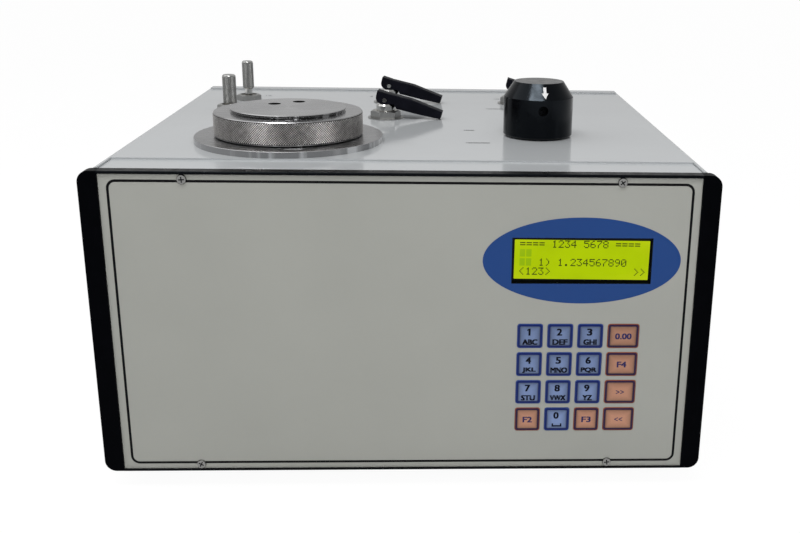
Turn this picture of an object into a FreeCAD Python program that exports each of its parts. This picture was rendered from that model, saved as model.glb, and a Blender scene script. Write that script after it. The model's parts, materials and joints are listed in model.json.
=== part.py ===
import FreeCAD, Part

import math
import os
import types

import Sketcher
from FreeCAD import Placement, Rotation, Vector

# Benchtop gas pycnometer (density meter): a sheet-metal case with a keypad and display in
# front, a sample chamber with a knurled screw lid, two needle valves, three toggle valves and
# a selector valve on the deck, and the gas circuit, electronics and supply inside.
#
# Case frame used below: X to the right, Y from the pillars' front face to the back, Z up from
# the soles of the feet. Each piece is then moved back by half of the overall depth, so the
# part's origin is the bottom centre of its bounding box. Millimetres and degrees.

SIZES = {
    # case
    "case_width": 350, "case_depth": 320, "sheet": 1.0, "sheet_gap": 0.2, "fit_gap": 0.05,
    "pillar_width": 10.8, "pillar_depth": 7.5, "pillar_corner": 6.5, "pillar_edge": 0.5,
    "tongue_depth": 16, "tongue_sheet": 1.5, "tongue_inset": 20,
    "rail_bottom": 1.2, "rail_top": 1.6, "rail_ledge": 7, "rail_chamfer": 0.4,
    "cover_inset": 5.5, "cover_bend": 3, "deck_proud": 0.4, "strip_depth": 26,
    "strip_lap": 12, "strip_flange": 12, "strip_notch": 3.5, "strip_bend": 0.9,
    "tray_sheet": 1.2, "tray_wall": 14, "vent_length": 36, "vent_width": 4,
    "vent_pitch": 12, "vent_count": 8, "vent_start": 40, "vent_row": 170,
    "rear_sheet": 1.2, "rear_flange": 11, "rear_vent_height": 34, "rear_vent_level": 128,
    # feet and screws
    "foot_height": 11, "foot_radius": 10, "foot_taper": 1, "foot_recess": 4, "foot_recess_depth": 7,
    "foot_from_side": 35, "foot_front": 40, "foot_from_rear": 35,
    "screw_head": 2.8, "screw_head_height": 1.0, "screw_shank": 1.45, "screw_length": 6,
    "screw_hole": 1.7, "panel_screw_from_side": 55.4, "panel_screw_edge": 2.9,
    "side_screw_front": 60, "side_screw_from_rear": 50, "side_screw_level": 9,
    # front panel, overlay, display and keypad
    "panel_height": 176.4, "panel_thickness": 2.5, "panel_gap": 0.1, "panel_recess": 1.2,
    "overlay": 0.5,
    "window_width": 80.4, "window_height": 27, "display_from_right": 75.5, "display_level": 128.3,
    "module_width": 98, "module_height": 60, "bezel_width": 97, "bezel_height": 40,
    "bezel_depth": 9.2, "view_width": 77, "view_height": 23, "view_recess": 0.8,
    "view_drop": 0.2, "board": 1.6, "standoff": 2.5, "module_hole_x": 46.5,
    "module_hole_y": 27.5, "backlight_width": 88, "backlight_height": 32, "backlight_depth": 3,
    "key_width": 14.7, "key_height": 14.8, "wide_key_width": 18.2, "key_corner": 1.5,
    "key_rise": 0.6, "key_crown": 0.35, "key_gap": 0.15, "key_flange": 0.3, "key_lip": 0.7,
    "key_pitch_x": 17.35, "key_pitch_y": 17.45, "keys_from_right": 103.8,
    "key_first_level": 83.3,
    "keypad_margin": 2.2, "pocket_depth": 1.9, "circuit": 0.9, "dome_radius": 4, "dome_rise": 0.25,
    "tail_width": 20, "tail_play": 1, "tail_slot": 1.2, "tail": 0.3, "tail_length": 14,
    # electronics
    "board_from_right": 91, "board_y": 100, "board_width": 150, "board_depth": 110, "board_lift": 9,
    "board_post": 3.2, "board_inset": 6, "chip_height": 3, "chip_size": 16, "chip_pitch": 26,
    "relay_height": 15, "relay_width": 12, "relay_length": 19, "header_height": 9,
    "header_length": 60, "header_width": 8, "header_margin": 14, "relay_margin": 8.5,
    "supply_from_right": 79, "supply_gap": 5, "supply_width": 78, "supply_depth": 86,
    "supply_height": 38, "supply_plate": 1.5, "supply_margin": 6, "slot_width": 2.4,
    "slot_length": 60, "slot_depth": 1.2, "slot_pitch": 7, "slot_count": 8,
    # mains inlet with its switch
    "inlet_from_right": 57, "inlet_level": 62, "inlet_plate_width": 50, "inlet_plate_height": 58,
    "inlet_plate": 2.5, "inlet_corner": 4, "inlet_body_width": 29, "inlet_body_height": 50,
    "inlet_body_depth": 24, "socket_width": 24.4, "socket_height": 16.4, "socket_depth": 16,
    "socket_drop": 12.5, "socket_chamfer": 5, "blade_width": 2, "blade_height": 4,
    "blade_length": 11, "blade_side": 7, "blade_low": 2, "blade_high": 2.4,
    "inlet_hole_side": 20,
    "switch_rise": 12, "switch_width": 21, "switch_height": 14, "switch_depth": 9,
    "rocker_width": 20.4, "rocker_half": 6.1, "rocker_root": 4.2, "rocker_deep": 4,
    "rocker_proud": 3, "rocker_valley": 1.2, "rocker_pin": 1.2, "rocker_pin_depth": 3.5,
    "rocker_tilt": 9,
    # serial port
    "port_from_right": 120, "port_level": 50, "port_plate_width": 30.8, "port_plate_height": 12.5,
    "port_plate": 0.8, "port_shell_width": 16.9, "port_shell_height": 8.3, "port_shell_taper": 1.4,
    "port_shell_reach": 5.5, "port_body_width": 19, "port_body_height": 10, "port_body_depth": 11,
    "port_post_side": 12.5, "port_post": 2.6, "port_post_length": 5,
    # sample chamber and lid
    "chamber_from_left": 101.4, "chamber_y": 91, "flange_radius": 57.4, "flange_thickness": 3.8,
    "flange_chamfer": 0.3, "chamber_radius": 36, "chamber_depth": 75, "chamber_floor": 12,
    "bore_radius": 24.5, "spigot_radius": 39.5, "spigot_height": 11, "hole_gap": 0.4,
    "port_hole": 4, "port_hole_depth": 8, "port_hole_level": 62,
    "cup_radius": 23.8, "cup_wall": 1.2, "cup_floor": 1.5, "cup_height": 62, "cup_rim": 0.4,
    "ring_radius": 45.4, "ring_bottom": 4.4, "ring_top": 18.5, "ring_chamfer": 1.0,
    "ring_lip": 3.8, "ring_gap": 0.1, "disc_radius": 35, "disc_top": 20.7, "disc_shoulder": 39.3,
    "disc_shoulder_height": 3, "disc_lift": 0.1, "disc_edge": 0.4, "plug_depth": 4,
    "plug_gap": 0.25, "disc_groove": 0.5, "disc_groove_height": 1.2,
    "spanner_radius": 3.9, "spanner_depth": 3, "spanner_x": -10, "spanner_y": 11,
    "spanner_far_x": 4, "spanner_far_y": 20.5,
    "seal_radius": 30.5, "seal_section": 1.4, "seal_squeeze": 0.02,
    # needle valves
    "needle_front_from_left": 44, "needle_front_y": 205, "needle_rear_from_left": 49,
    "needle_rear_y": 254,
    "needle_nut_flats": 16, "needle_nut_height": 4.4, "needle_neck": 6,
    "needle_neck_recess": 0.9, "needle_block": 20, "needle_block_depth": 30,
    "needle_shoulder": 9, "needle_shoulder_height": 2.5,
    "needle_rod": 2.7, "needle_seat": 1.2, "needle_seat_depth": 24, "needle_tip": 4,
    "needle_grip": 12, "needle_front_knob": 4.8, "needle_rear_knob": 4.2, "needle_knob_length": 20.6,
    "needle_front_lift": 4.7, "needle_rear_lift": 8.9, "needle_knob_chamfer": 0.8,
    "running_gap": 0.05,
    # toggle valves
    "toggle_front_x": -18.2, "toggle_front_y": 178.5, "toggle_rear_x": -18.2, "toggle_rear_y": 251,
    "toggle_right_from_right": 98, "toggle_right_y": 251,
    "toggle_nut_flats": 18.3, "toggle_nut_height": 4.9, "washer": 0.6, "washer_radius": 12.4,
    "nut_chamfer": 1.1, "nut_corner": 2.2, "nut_turn": 8, "toggle_neck": 8, "toggle_shoulder": 12,
    "toggle_shoulder_height": 3, "toggle_body": 9, "toggle_body_depth": 42,
    "bonnet_radius": 6.5, "bonnet_straight": 3.2, "bonnet_top": 5.6, "stem_radius": 2.6,
    "stem_depth": 32, "stem_tip": 1.4, "pin_height": 12.8, "pin_radius": 1.5, "pin_proud": 0.3,
    "lever_width": 9.5, "lever_slot": 5.6, "lever_head": 6.6, "lever_head_top": 5.0,
    "lever_reach": 40.6, "lever_tip_top": 4.1, "lever_tip_bottom": -1.0, "lever_mid": 26,
    "lever_mid_bottom": -2.4, "lever_step": 9.5, "lever_step_bottom": -3.3, "foot_run": 8,
    "slot_front": 4.2, "slot_roof": 3.2, "lever_edge": 0.7,
    "cam_radius": 4.4, "cam_offset": 2.4, "cam_lead": 45, "cam_gap": 0.15,
    "lever_droop": 16, "lever_heading": -6,
    # selector valve
    "selector_from_right": 92.2, "selector_y": 115, "knob_radius": 22.2, "knob_bottom": 0.5,
    "knob_shoulder": 25.6, "knob_top": 35.2, "knob_crown": 15.8, "knob_edge": 1.2,
    "knob_recess": 12, "knob_recess_depth": 6, "knob_bore_top": 26, "setscrew_radius": 3.1,
    "setscrew_level": 19.1, "setscrew_depth": 9, "knob_heading": 3,
    "selector_body": 19, "selector_body_depth": 42, "selector_bush": 7, "selector_bush_top": 4,
    "shaft_radius": 3, "shaft_top": 25, "rotor_radius": 10, "rotor_top": 12, "rotor_length": 22,
    "rotor_passage": 1.5,
    # gas circuit
    "tank_radius": 30, "tank_clearance": 5.4, "tank_dome": 6, "tank_foot": 38, "tank_foot_thickness": 4,
    "tank_neck": 8, "tank_neck_height": 10, "tank_foot_hole": 2.2, "tank_foot_circle": 34,
    "tank_foot_angle": 120,
    "gauge_hex_flats": 22, "gauge_hex_length": 8, "gauge_radius": 11, "gauge_length": 38,
    "gauge_cap": 8, "gauge_cap_length": 6,
    "fitting_from_left": 63, "fitting_level": 70, "fitting_pitch": 36, "fitting_reach": 20,
    "fitting_nut_flats": 16, "fitting_nut_length": 5, "fitting_thread": 5, "fitting_inside": 16,
    "fitting_bore": 3.05, "fitting_bore_depth": 14, "fitting_collar": 6,
    "tube_radius": 1.6, "tube_bend": 10,
}

OPERATIONS = {
    "+": lambda left, right: left + right,
    "-": lambda left, right: left - right,
    "*": lambda left, right: left * right,
    "/": lambda left, right: left / right,
}


class Quantity:
    """A size that carries its number and the sheet formula that it comes from."""

    def __init__(self, number, formula):
        self.number = number
        self.formula = formula

    def joined(self, sign, other, swapped=False):
        left, right = (quantity(other), self) if swapped else (self, quantity(other))
        number = OPERATIONS[sign](left.number, right.number)
        return Quantity(number, "(%s %s %s)" % (left.formula, sign, right.formula))

    def __add__(self, other):
        return self.joined("+", other)

    def __radd__(self, other):
        return self.joined("+", other, swapped=True)

    def __sub__(self, other):
        return self.joined("-", other)

    def __rsub__(self, other):
        return self.joined("-", other, swapped=True)

    def __mul__(self, other):
        return self.joined("*", other)

    def __rmul__(self, other):
        return self.joined("*", other, swapped=True)

    def __truediv__(self, other):
        return self.joined("/", other)

    def __neg__(self):
        return Quantity(-self.number, "(0 - %s)" % self.formula)


def quantity(value):
    if isinstance(value, Quantity):
        return value
    return Quantity(float(value), repr(float(value)))


def cosine(angle):
    angle = quantity(angle)
    return Quantity(math.cos(math.radians(angle.number)), "cos(%s * 1 deg)" % angle.formula)


def sine(angle):
    angle = quantity(angle)
    return Quantity(math.sin(math.radians(angle.number)), "sin(%s * 1 deg)" % angle.formula)


# ---------------------------------------------------------------- document and sheet

doc = FreeCAD.newDocument("DensityMeter")
sheet = doc.addObject("Spreadsheet::Sheet", "Sizes")
for row, (alias, number) in enumerate(SIZES.items(), start=1):
    sheet.set("A%d" % row, alias.replace("_", " "))
    sheet.set("B%d" % row, str(number))
    sheet.setAlias("B%d" % row, alias)
doc.recompute()
size = types.SimpleNamespace(**{
    alias: Quantity(float(number), "Sizes." + alias) for alias, number in SIZES.items()})

# ---------------------------------------------------------------- levels and lines shared by pieces

half_width = size.case_width / 2
middle_y = (size.case_depth + size.fitting_reach) / 2
case_bottom = size.foot_height
panel_bottom = case_bottom + size.rail_bottom
panel_top = panel_bottom + size.panel_height
rail_top_level = panel_top + size.rail_top
deck = rail_top_level + size.deck_proud
deck_underside = deck - size.sheet
rail_half = half_width - size.pillar_width
panel_half = rail_half - size.panel_gap
cover_outer = half_width - size.cover_inset
cover_inner = cover_outer - size.sheet
tray_outer = cover_inner - size.sheet_gap
tray_floor = case_bottom + size.tray_sheet
rear_inside = size.case_depth - size.rear_sheet
overlay_back = size.panel_recess + size.overlay
panel_back = overlay_back + size.panel_thickness
pocket_floor = overlay_back + size.pocket_depth
seam_y = size.pillar_depth + size.strip_depth
column_x = [half_width - size.keys_from_right + size.key_pitch_x * column
            for column in range(3)]
column_x.append(column_x[2] + size.key_pitch_x + (size.wide_key_width - size.key_width) / 2)
row_level = [panel_bottom + size.key_first_level - size.key_pitch_y * row for row in range(4)]
display_level = panel_bottom + size.display_level
display_x = half_width - size.display_from_right
inlet_x = half_width - size.inlet_from_right
port_x = half_width - size.port_from_right
selector_x = half_width - size.selector_from_right
chamber_x = size.chamber_from_left - half_width
chamber_bottom = deck - size.chamber_depth
foot_side = half_width - size.foot_from_side
foot_rows = (size.foot_front, size.case_depth - size.foot_from_rear)
side_screw_rows = (size.side_screw_front, size.case_depth - size.side_screw_from_rear)
panel_screw_side = half_width - size.panel_screw_from_side
cam_side = size.cam_offset * cosine(size.cam_lead - size.lever_droop)
cam_up = size.cam_offset * sine(size.cam_lead - size.lever_droop)
bonnet_level = size.pin_height - size.cam_radius + size.cam_offset * sine(size.cam_lead) - size.cam_gap
toggle_nut_top = size.washer + size.toggle_nut_height

FULL_TURN = 360
HEX_SIDES = 6
TOUCH = 1e-3  # two places nearer than this are the same
AXIS_X = Vector(1, 0, 0)
AXIS_Y = Vector(0, 1, 0)
AXIS_Z = Vector(0, 0, 1)
pieces = []

# ---------------------------------------------------------------- helpers


def bind(thing, path, value):
    """Tie one property or constraint of an object to a sheet formula."""
    thing.setExpression(path, quantity(value).formula)


def place(thing, x=0, y=0, z=0, axis=AXIS_Z, angle=0):
    """Place an object in the case frame; the part's origin is half the depth further back."""
    rotation = angle if isinstance(angle, Rotation) else Rotation(axis, quantity(angle).number)
    thing.Placement = Placement(Vector(), rotation)
    bind(thing, "Placement.Base.x", x)
    bind(thing, "Placement.Base.y", y - middle_y)
    bind(thing, "Placement.Base.z", z)


def new_body(name, x=0, y=0, z=0, axis=AXIS_Z, angle=0):
    body = doc.addObject("PartDesign::Body", name)
    body.Label = name
    body.AllowCompound = True
    place(body, x, y, z, axis, angle)
    pieces.append(body)
    return body


def new_master(name):
    """A body that is only used through its copies."""
    body = doc.addObject("PartDesign::Body", name)
    body.Label = name
    return body


def group(name, copies):
    """One node of like pieces: a compound of links, each (body, x, y, z, axis, angle)."""
    links = []
    for number, (body, x, y, z, axis, angle) in enumerate(copies, start=1):
        link = doc.addObject("App::Link", "%s_%d" % (name, number))
        link.LinkedObject = body
        place(link, x, y, z, axis, angle)
        links.append(link)
    compound = doc.addObject("Part::Compound", name)
    compound.Label = name
    compound.Links = links
    pieces.append(compound)


def new_sketch(body, role, offset=0):
    plane = [item for item in body.Origin.OriginFeatures if item.Role == role][0]
    sketch = body.newObject("Sketcher::SketchObject", body.Name + "_sketch")
    sketch.AttachmentSupport = [(plane, "")]
    sketch.MapMode = "FlatFace"
    bind(sketch, "AttachmentOffset.Base.z", offset)
    return sketch


def pin_point(sketch, geometry, vertex, x, y):
    for kind, value in (("DistanceX", quantity(x)), ("DistanceY", quantity(y))):
        index = sketch.addConstraint(
            Sketcher.Constraint(kind, -1, 1, geometry, vertex, value.number))
        bind(sketch, "Constraints[%d]" % index, value)


def draw_polygon(sketch, points):
    points = [(quantity(x), quantity(y)) for x, y in points]
    first = None
    for (x0, y0), (x1, y1) in zip(points, points[1:] + points[:1]):
        line = Part.LineSegment(Vector(x0.number, y0.number, 0), Vector(x1.number, y1.number, 0))
        index = sketch.addGeometry(line, False)
        if first is None:
            first = index
        else:
            sketch.addConstraint(Sketcher.Constraint("Coincident", index - 1, 2, index, 1))
    sketch.addConstraint(Sketcher.Constraint("Coincident", index, 2, first, 1))
    for offset, (x, y) in enumerate(points):
        pin_point(sketch, first + offset, 1, x, y)


def draw_rectangle(sketch, x, y, width, height):
    """A rectangle about its centre."""
    left, right = x - width / 2, x + width / 2
    low, high = y - height / 2, y + height / 2
    draw_polygon(sketch, [(left, low), (right, low), (right, high), (left, high)])


def draw_circle(sketch, x, y, radius):
    x, y, radius = quantity(x), quantity(y), quantity(radius)
    shape = Part.Circle(Vector(x.number, y.number, 0), Vector(0, 0, 1), radius.number)
    index = sketch.addGeometry(shape, False)
    pin_point(sketch, index, 3, x, y)
    constraint = sketch.addConstraint(Sketcher.Constraint("Radius", index, radius.number))
    bind(sketch, "Constraints[%d]" % constraint, radius)


def draw(sketch, outlines):
    """Outlines are ("box", x, y, width, height), ("disc", x, y, radius) or ("line", points)."""
    tools = {"box": draw_rectangle, "disc": draw_circle, "line": draw_polygon}
    for kind, *values in outlines:
        tools[kind](sketch, *values)


def volume(body):
    return 0.0 if body.Tip is None or body.Tip.Shape.isNull() else body.Tip.Shape.Volume


def settle(body, feature, before, grows):
    """Recompute and make sure that the feature really added or removed material."""
    doc.recompute()
    after = feature.Shape.Volume
    changed = after - before if grows else before - after
    if changed < TOUCH:
        raise RuntimeError("%s left %s as it was" % (feature.Name, body.Label))
    return feature


def extrude(body, plane, start, length, outlines, cut=False):
    """Add or cut outlines drawn across X, Y or Z, from start over length along that axis."""
    role, sign = {"x": ("YZ_Plane", 1), "y": ("XZ_Plane", -1), "z": ("XY_Plane", 1)}[plane]
    start = quantity(start)
    before = volume(body)
    sketch = new_sketch(body, role, start if sign > 0 else -start)
    draw(sketch, outlines)
    feature = body.newObject("PartDesign::Pocket" if cut else "PartDesign::Pad",
                             body.Name + ("_cut" if cut else "_pad"))
    feature.Profile = sketch
    feature.Reversed = (sign > 0) if cut else (sign < 0)
    bind(feature, "Length", length)
    return settle(body, feature, before, grows=not cut)


def turn_profile(body, points, cut=False):
    """Revolve an outline of (radius, height) points about the upright axis."""
    before = volume(body)
    sketch = new_sketch(body, "XZ_Plane")
    draw_polygon(sketch, points)
    feature = body.newObject("PartDesign::Groove" if cut else "PartDesign::Revolution",
                             body.Name + ("_groove" if cut else "_turned"))
    feature.Profile = sketch
    feature.ReferenceAxis = (sketch, ["V_Axis"])
    feature.Angle = FULL_TURN
    return settle(body, feature, before, grows=not cut)


def dress_edges(body, kind, amount, wanted):
    """Fillet or chamfer the edges of the tip that the test picks."""
    base = body.Tip
    names = ["Edge%d" % number for number, edge in enumerate(base.Shape.Edges, start=1)
             if wanted(edge)]
    if not names:
        raise RuntimeError("no edge to dress on %s" % body.Label)
    feature = body.newObject("PartDesign::" + kind, body.Name + "_" + kind.lower())
    feature.Base = (base, names)
    bind(feature, "Radius" if kind == "Fillet" else "Size", amount)
    doc.recompute()
    return feature


def runs_along(axis):
    """A test for straight edges parallel to an axis."""
    def test(edge):
        if edge.Curve.TypeId != "Part::GeomLine":
            return False
        direction = edge.tangentAt(edge.FirstParameter)
        return abs(abs(direction.dot(axis)) - 1) < TOUCH
    return test


def repeat_along(body, feature, sketch_axis, length, count):
    """A row of copies of one feature along an axis of its own sketch."""
    pattern = body.newObject("PartDesign::LinearPattern", body.Name + "_row")
    pattern.Originals = [feature]
    pattern.Direction = (feature.Profile[0], [sketch_axis])
    bind(pattern, "Length", length)
    bind(pattern, "Occurrences", count)
    body.Tip = pattern
    doc.recompute()
    return pattern


def hexagon(x, y, flats):
    """The six corners of a hexagon of a given width over its flats."""
    step = FULL_TURN / HEX_SIDES
    radius = flats / 2 / cosine(step / 2)
    return [(x + radius * cosine(step * side), y + radius * sine(step * side))
            for side in range(HEX_SIDES)]


def outer_corner(sign):
    """A test for the pillar's two outer corners, along Y on the side given by the sign."""
    def test(edge):
        return runs_along(AXIS_Y)(edge) and edge.CenterOfMass.x * sign > 0
    return test


# ---------------------------------------------------------------- case


def make_front_pillars():
    """Two equal extrusions: rounded outer corners in front and a tongue that holds the tray."""
    height = size.rail_bottom + size.panel_height + size.rail_top
    middle_x = half_width - size.pillar_width / 2
    pillar = new_master("pillar_extrusion")
    extrude(pillar, "y", 0, size.pillar_depth, [("box", 0, 0, size.pillar_width, height)])
    dress_edges(pillar, "Fillet", size.pillar_corner, outer_corner(-1))
    dress_edges(pillar, "Chamfer", size.pillar_edge,
                lambda edge: edge.BoundBox.YMax < TOUCH and edge.CenterOfMass.x < 0)
    tongue_x = middle_x - (tray_outer - size.tray_sheet) + size.tongue_sheet / 2
    extrude(pillar, "y", size.pillar_depth, size.tongue_depth,
            [("box", tongue_x, 0, size.tongue_sheet, height - size.tongue_inset * 2)])
    level = case_bottom + height / 2
    group("front_pillars", [(pillar, -middle_x, 0, level, AXIS_Y, 0),
                            (pillar, middle_x, 0, level, AXIS_Y, 180)])


def make_front_rails():
    """Top and bottom rails: a narrow lip in front and a ledge that the panel screws to."""
    lip = size.rail_chamfer
    ledge_y = panel_back
    profiles = {
        "front_rail_top": (panel_top + size.rail_top, panel_top, panel_top - size.rail_ledge, -1),
        "front_rail_bottom": (case_bottom, panel_bottom, panel_bottom + size.rail_ledge, 1),
    }
    for name, (outside, lip_edge, ledge_end, inward) in profiles.items():
        rail = new_body(name)
        extrude(rail, "x", -rail_half, rail_half * 2, [("line", [
            (0, lip_edge), (0, outside + lip * inward), (lip, outside), (size.pillar_depth, outside),
            (size.pillar_depth, ledge_end), (ledge_y, ledge_end), (ledge_y, lip_edge)])])
        level = lip_edge + size.panel_screw_edge * inward
        holes = [("disc", panel_screw_side * side, level, size.screw_shank + size.fit_gap)
                 for side in (-1, 1)]
        extrude(rail, "y", ledge_y, size.pillar_depth - ledge_y, holes, cut=True)


def panel_screw_places():
    return [(panel_screw_side * side, level)
            for side in (-1, 1)
            for level in (panel_bottom + size.panel_screw_edge, panel_top - size.panel_screw_edge)]


def make_front_panel():
    panel = new_body("front_panel")
    middle = (panel_bottom + panel_top) / 2
    height = size.panel_height - size.panel_gap * 2
    outlines = [("box", 0, middle, panel_half * 2, height),
                ("box", display_x, display_level, size.window_width, size.window_height)]
    outlines += [("disc", x, z, size.screw_hole) for x, z in panel_screw_places()]
    extrude(panel, "y", overlay_back, size.panel_thickness, outlines)
    x, z, width, depth = keypad_area()
    extrude(panel, "y", overlay_back, size.pocket_depth, [("box", x, z, width, depth)], cut=True)
    tail_z = z - depth / 2 + size.tail_slot
    extrude(panel, "y", pocket_floor, panel_back - pocket_floor,
            [("box", x, tail_z, size.tail_width, size.tail_slot)], cut=True)


def keypad_area():
    """Centre and size of the keypad's pocket behind the overlay."""
    left = column_x[0] - size.key_width / 2 - size.keypad_margin
    right = column_x[3] + size.wide_key_width / 2 + size.keypad_margin
    high = row_level[0] + size.key_height / 2 + size.keypad_margin
    low = row_level[3] - size.key_height / 2 - size.keypad_margin
    return (left + right) / 2, (low + high) / 2, right - left, high - low


def key_width(column):
    return size.wide_key_width if column == 3 else size.key_width


def make_front_overlay():
    overlay = new_body("front_overlay")
    middle = (panel_bottom + panel_top) / 2
    outlines = [("box", 0, middle, panel_half * 2, size.panel_height - size.panel_gap * 2),
                ("box", display_x, display_level, size.window_width, size.window_height)]
    outlines += [("disc", x, z, size.screw_hole) for x, z in panel_screw_places()]
    for z in row_level:
        for column, x in enumerate(column_x):
            outlines.append(("box", x, z, key_width(column) + size.key_gap * 2,
                             size.key_height + size.key_gap * 2))
    extrude(overlay, "y", size.panel_recess, size.overlay, outlines)
    x, z, width, depth = keypad_area()

    def key_corner(edge):
        centre = edge.CenterOfMass
        near = (abs(centre.x - x.number) < width.number / 2
                and abs(centre.z - z.number) < depth.number / 2)
        return runs_along(AXIS_Y)(edge) and near
    dress_edges(overlay, "Fillet", size.key_corner + size.key_gap, key_corner)


KEY_ROWS = [["key_1", "key_2", "key_3", "key_zero"],
            ["key_4", "key_5", "key_6", "key_skip"],
            ["key_7", "key_8", "key_9", "key_next"],
            ["key_escape", "key_0", "key_enter", "key_back"]]


def make_keys():
    """Crowned key pads, each held behind the overlay by its own rim."""
    for names, z in zip(KEY_ROWS, row_level):
        for column, (name, x) in enumerate(zip(names, column_x)):
            key = new_body(name, x, size.panel_recess, z)
            width = key_width(column)
            extrude(key, "y", -size.key_rise, size.key_rise + size.overlay,
                    [("box", 0, 0, width, size.key_height)])
            dress_edges(key, "Fillet", size.key_corner, runs_along(AXIS_Y))
            front = -size.key_rise.number + TOUCH
            dress_edges(key, "Fillet", size.key_crown, lambda edge: edge.BoundBox.YMax < front)
            extrude(key, "y", size.overlay, size.key_flange,
                    [("box", 0, 0, width + size.key_lip * 2, size.key_height + size.key_lip * 2)])


def make_keypad_circuit():
    circuit = new_body("keypad_circuit")
    x, z, width, depth = keypad_area()
    front = pocket_floor - size.circuit
    gap = size.panel_gap * 2
    extrude(circuit, "y", front, size.circuit, [("box", x, z, width - gap, depth - gap)])
    domes = [("disc", key_x, key_z, size.dome_radius) for key_z in row_level for key_x in column_x]
    extrude(circuit, "y", front - size.dome_rise, size.dome_rise, domes)
    tail_z = z - depth / 2 + size.tail_slot
    extrude(circuit, "y", pocket_floor, size.tail_length,
            [("box", x, tail_z, size.tail_width - size.tail_play, size.tail)])


def make_display_module():
    """A character display: bezel with its glass recess, circuit board, backlight and standoffs."""
    module = new_body("display_module", display_x, panel_back, display_level)
    extrude(module, "y", 0, size.bezel_depth, [("box", 0, 0, size.bezel_width, size.bezel_height)])
    extrude(module, "y", 0, size.view_recess,
            [("box", 0, -size.view_drop, size.view_width, size.view_height)], cut=True)
    extrude(module, "y", size.bezel_depth, size.board,
            [("box", 0, 0, size.module_width, size.module_height)])
    extrude(module, "y", size.bezel_depth + size.board, size.backlight_depth,
            [("box", 0, 0, size.backlight_width, size.backlight_height)])
    posts = [("disc", size.module_hole_x * side, size.module_hole_y * end, size.standoff)
             for side in (-1, 1) for end in (-1, 1)]
    extrude(module, "y", 0, size.bezel_depth, posts)


def make_base_tray():
    tray = new_body("base_tray")
    length = rear_inside - size.pillar_depth
    middle = size.pillar_depth + length / 2
    extrude(tray, "z", case_bottom, size.tray_wall, [("box", 0, middle, tray_outer * 2, length)])
    inner_width = (tray_outer - size.tray_sheet) * 2
    inner_length = length - size.tray_sheet
    extrude(tray, "z", tray_floor, size.tray_wall - size.tray_sheet,
            [("box", 0, middle + size.tray_sheet / 2, inner_width, inner_length)], cut=True)
    holes = [("disc", foot_side * side, y, size.screw_shank + size.fit_gap)
             for side in (-1, 1) for y in foot_rows]
    extrude(tray, "z", case_bottom, size.tray_sheet, holes, cut=True)
    walls = [("disc", y, case_bottom + size.side_screw_level, size.screw_shank + size.fit_gap)
             for y in side_screw_rows]
    extrude(tray, "x", -tray_outer, tray_outer * 2, walls, cut=True)
    slot = extrude(tray, "z", case_bottom, size.tray_sheet,
                   [("box", size.vent_start, size.vent_row, size.vent_width, size.vent_length)],
                   cut=True)
    repeat_along(tray, slot, "H_Axis", size.vent_pitch * (size.vent_count - 1), size.vent_count)


def make_top_cover():
    """One sheet bent over the top and both sides, with its holes for the deck's fittings."""
    cover = new_body("top_cover")
    low = case_bottom + size.sheet_gap
    extrude(cover, "y", size.pillar_depth, rear_inside - size.pillar_depth, [("line", [
        (-cover_outer, low), (-cover_outer, deck), (cover_outer, deck), (cover_outer, low),
        (cover_inner, low), (cover_inner, deck_underside), (-cover_inner, deck_underside),
        (-cover_inner, low)])])

    def top_bend(edge, level, side):
        centre = edge.CenterOfMass
        return (runs_along(AXIS_Y)(edge) and abs(centre.z - level.number) < TOUCH
                and abs(abs(centre.x) - side.number) < TOUCH)
    dress_edges(cover, "Fillet", size.cover_bend, lambda edge: top_bend(edge, deck, cover_outer))
    dress_edges(cover, "Fillet", size.cover_bend - size.sheet,
                lambda edge: top_bend(edge, deck_underside, cover_inner))
    notch_half = cover_outer - size.strip_notch
    extrude(cover, "z", deck_underside, size.sheet,
            [("box", 0, size.pillar_depth + size.strip_depth / 2, notch_half * 2,
              size.strip_depth)], cut=True)
    holes = [("disc", chamber_x, size.chamber_y, size.chamber_radius + size.hole_gap),
             ("disc", selector_x, size.selector_y, size.selector_bush + size.hole_gap)]
    holes += [("disc", x, y, size.needle_neck + size.hole_gap) for x, y in needle_places()]
    holes += [("disc", x, y, size.toggle_neck + size.hole_gap) for x, y in toggle_places()]
    extrude(cover, "z", deck_underside, size.sheet, holes, cut=True)
    walls = [("disc", y, case_bottom + size.side_screw_level, size.screw_hole)
             for y in side_screw_rows]
    extrude(cover, "x", -cover_outer, cover_outer * 2, walls, cut=True)


def make_top_front_strip():
    """The fixed strip behind the top rail, which the cover's front edge laps over."""
    strip = new_body("top_front_strip")
    half = cover_outer - size.strip_notch - size.sheet_gap
    top = deck_underside
    start = size.pillar_depth
    extrude(strip, "x", -half, half * 2, [("line", [
        (start, top), (seam_y + size.strip_lap, top), (seam_y + size.strip_lap, top - size.sheet),
        (start + size.sheet, top - size.sheet), (start + size.sheet, top - size.strip_flange),
        (start, top - size.strip_flange)])])
    dress_edges(strip, "Fillet", size.strip_bend, lambda edge: (
        edge.BoundBox.YMax < start.number + TOUCH and edge.BoundBox.ZMin > top.number - TOUCH))


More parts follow.
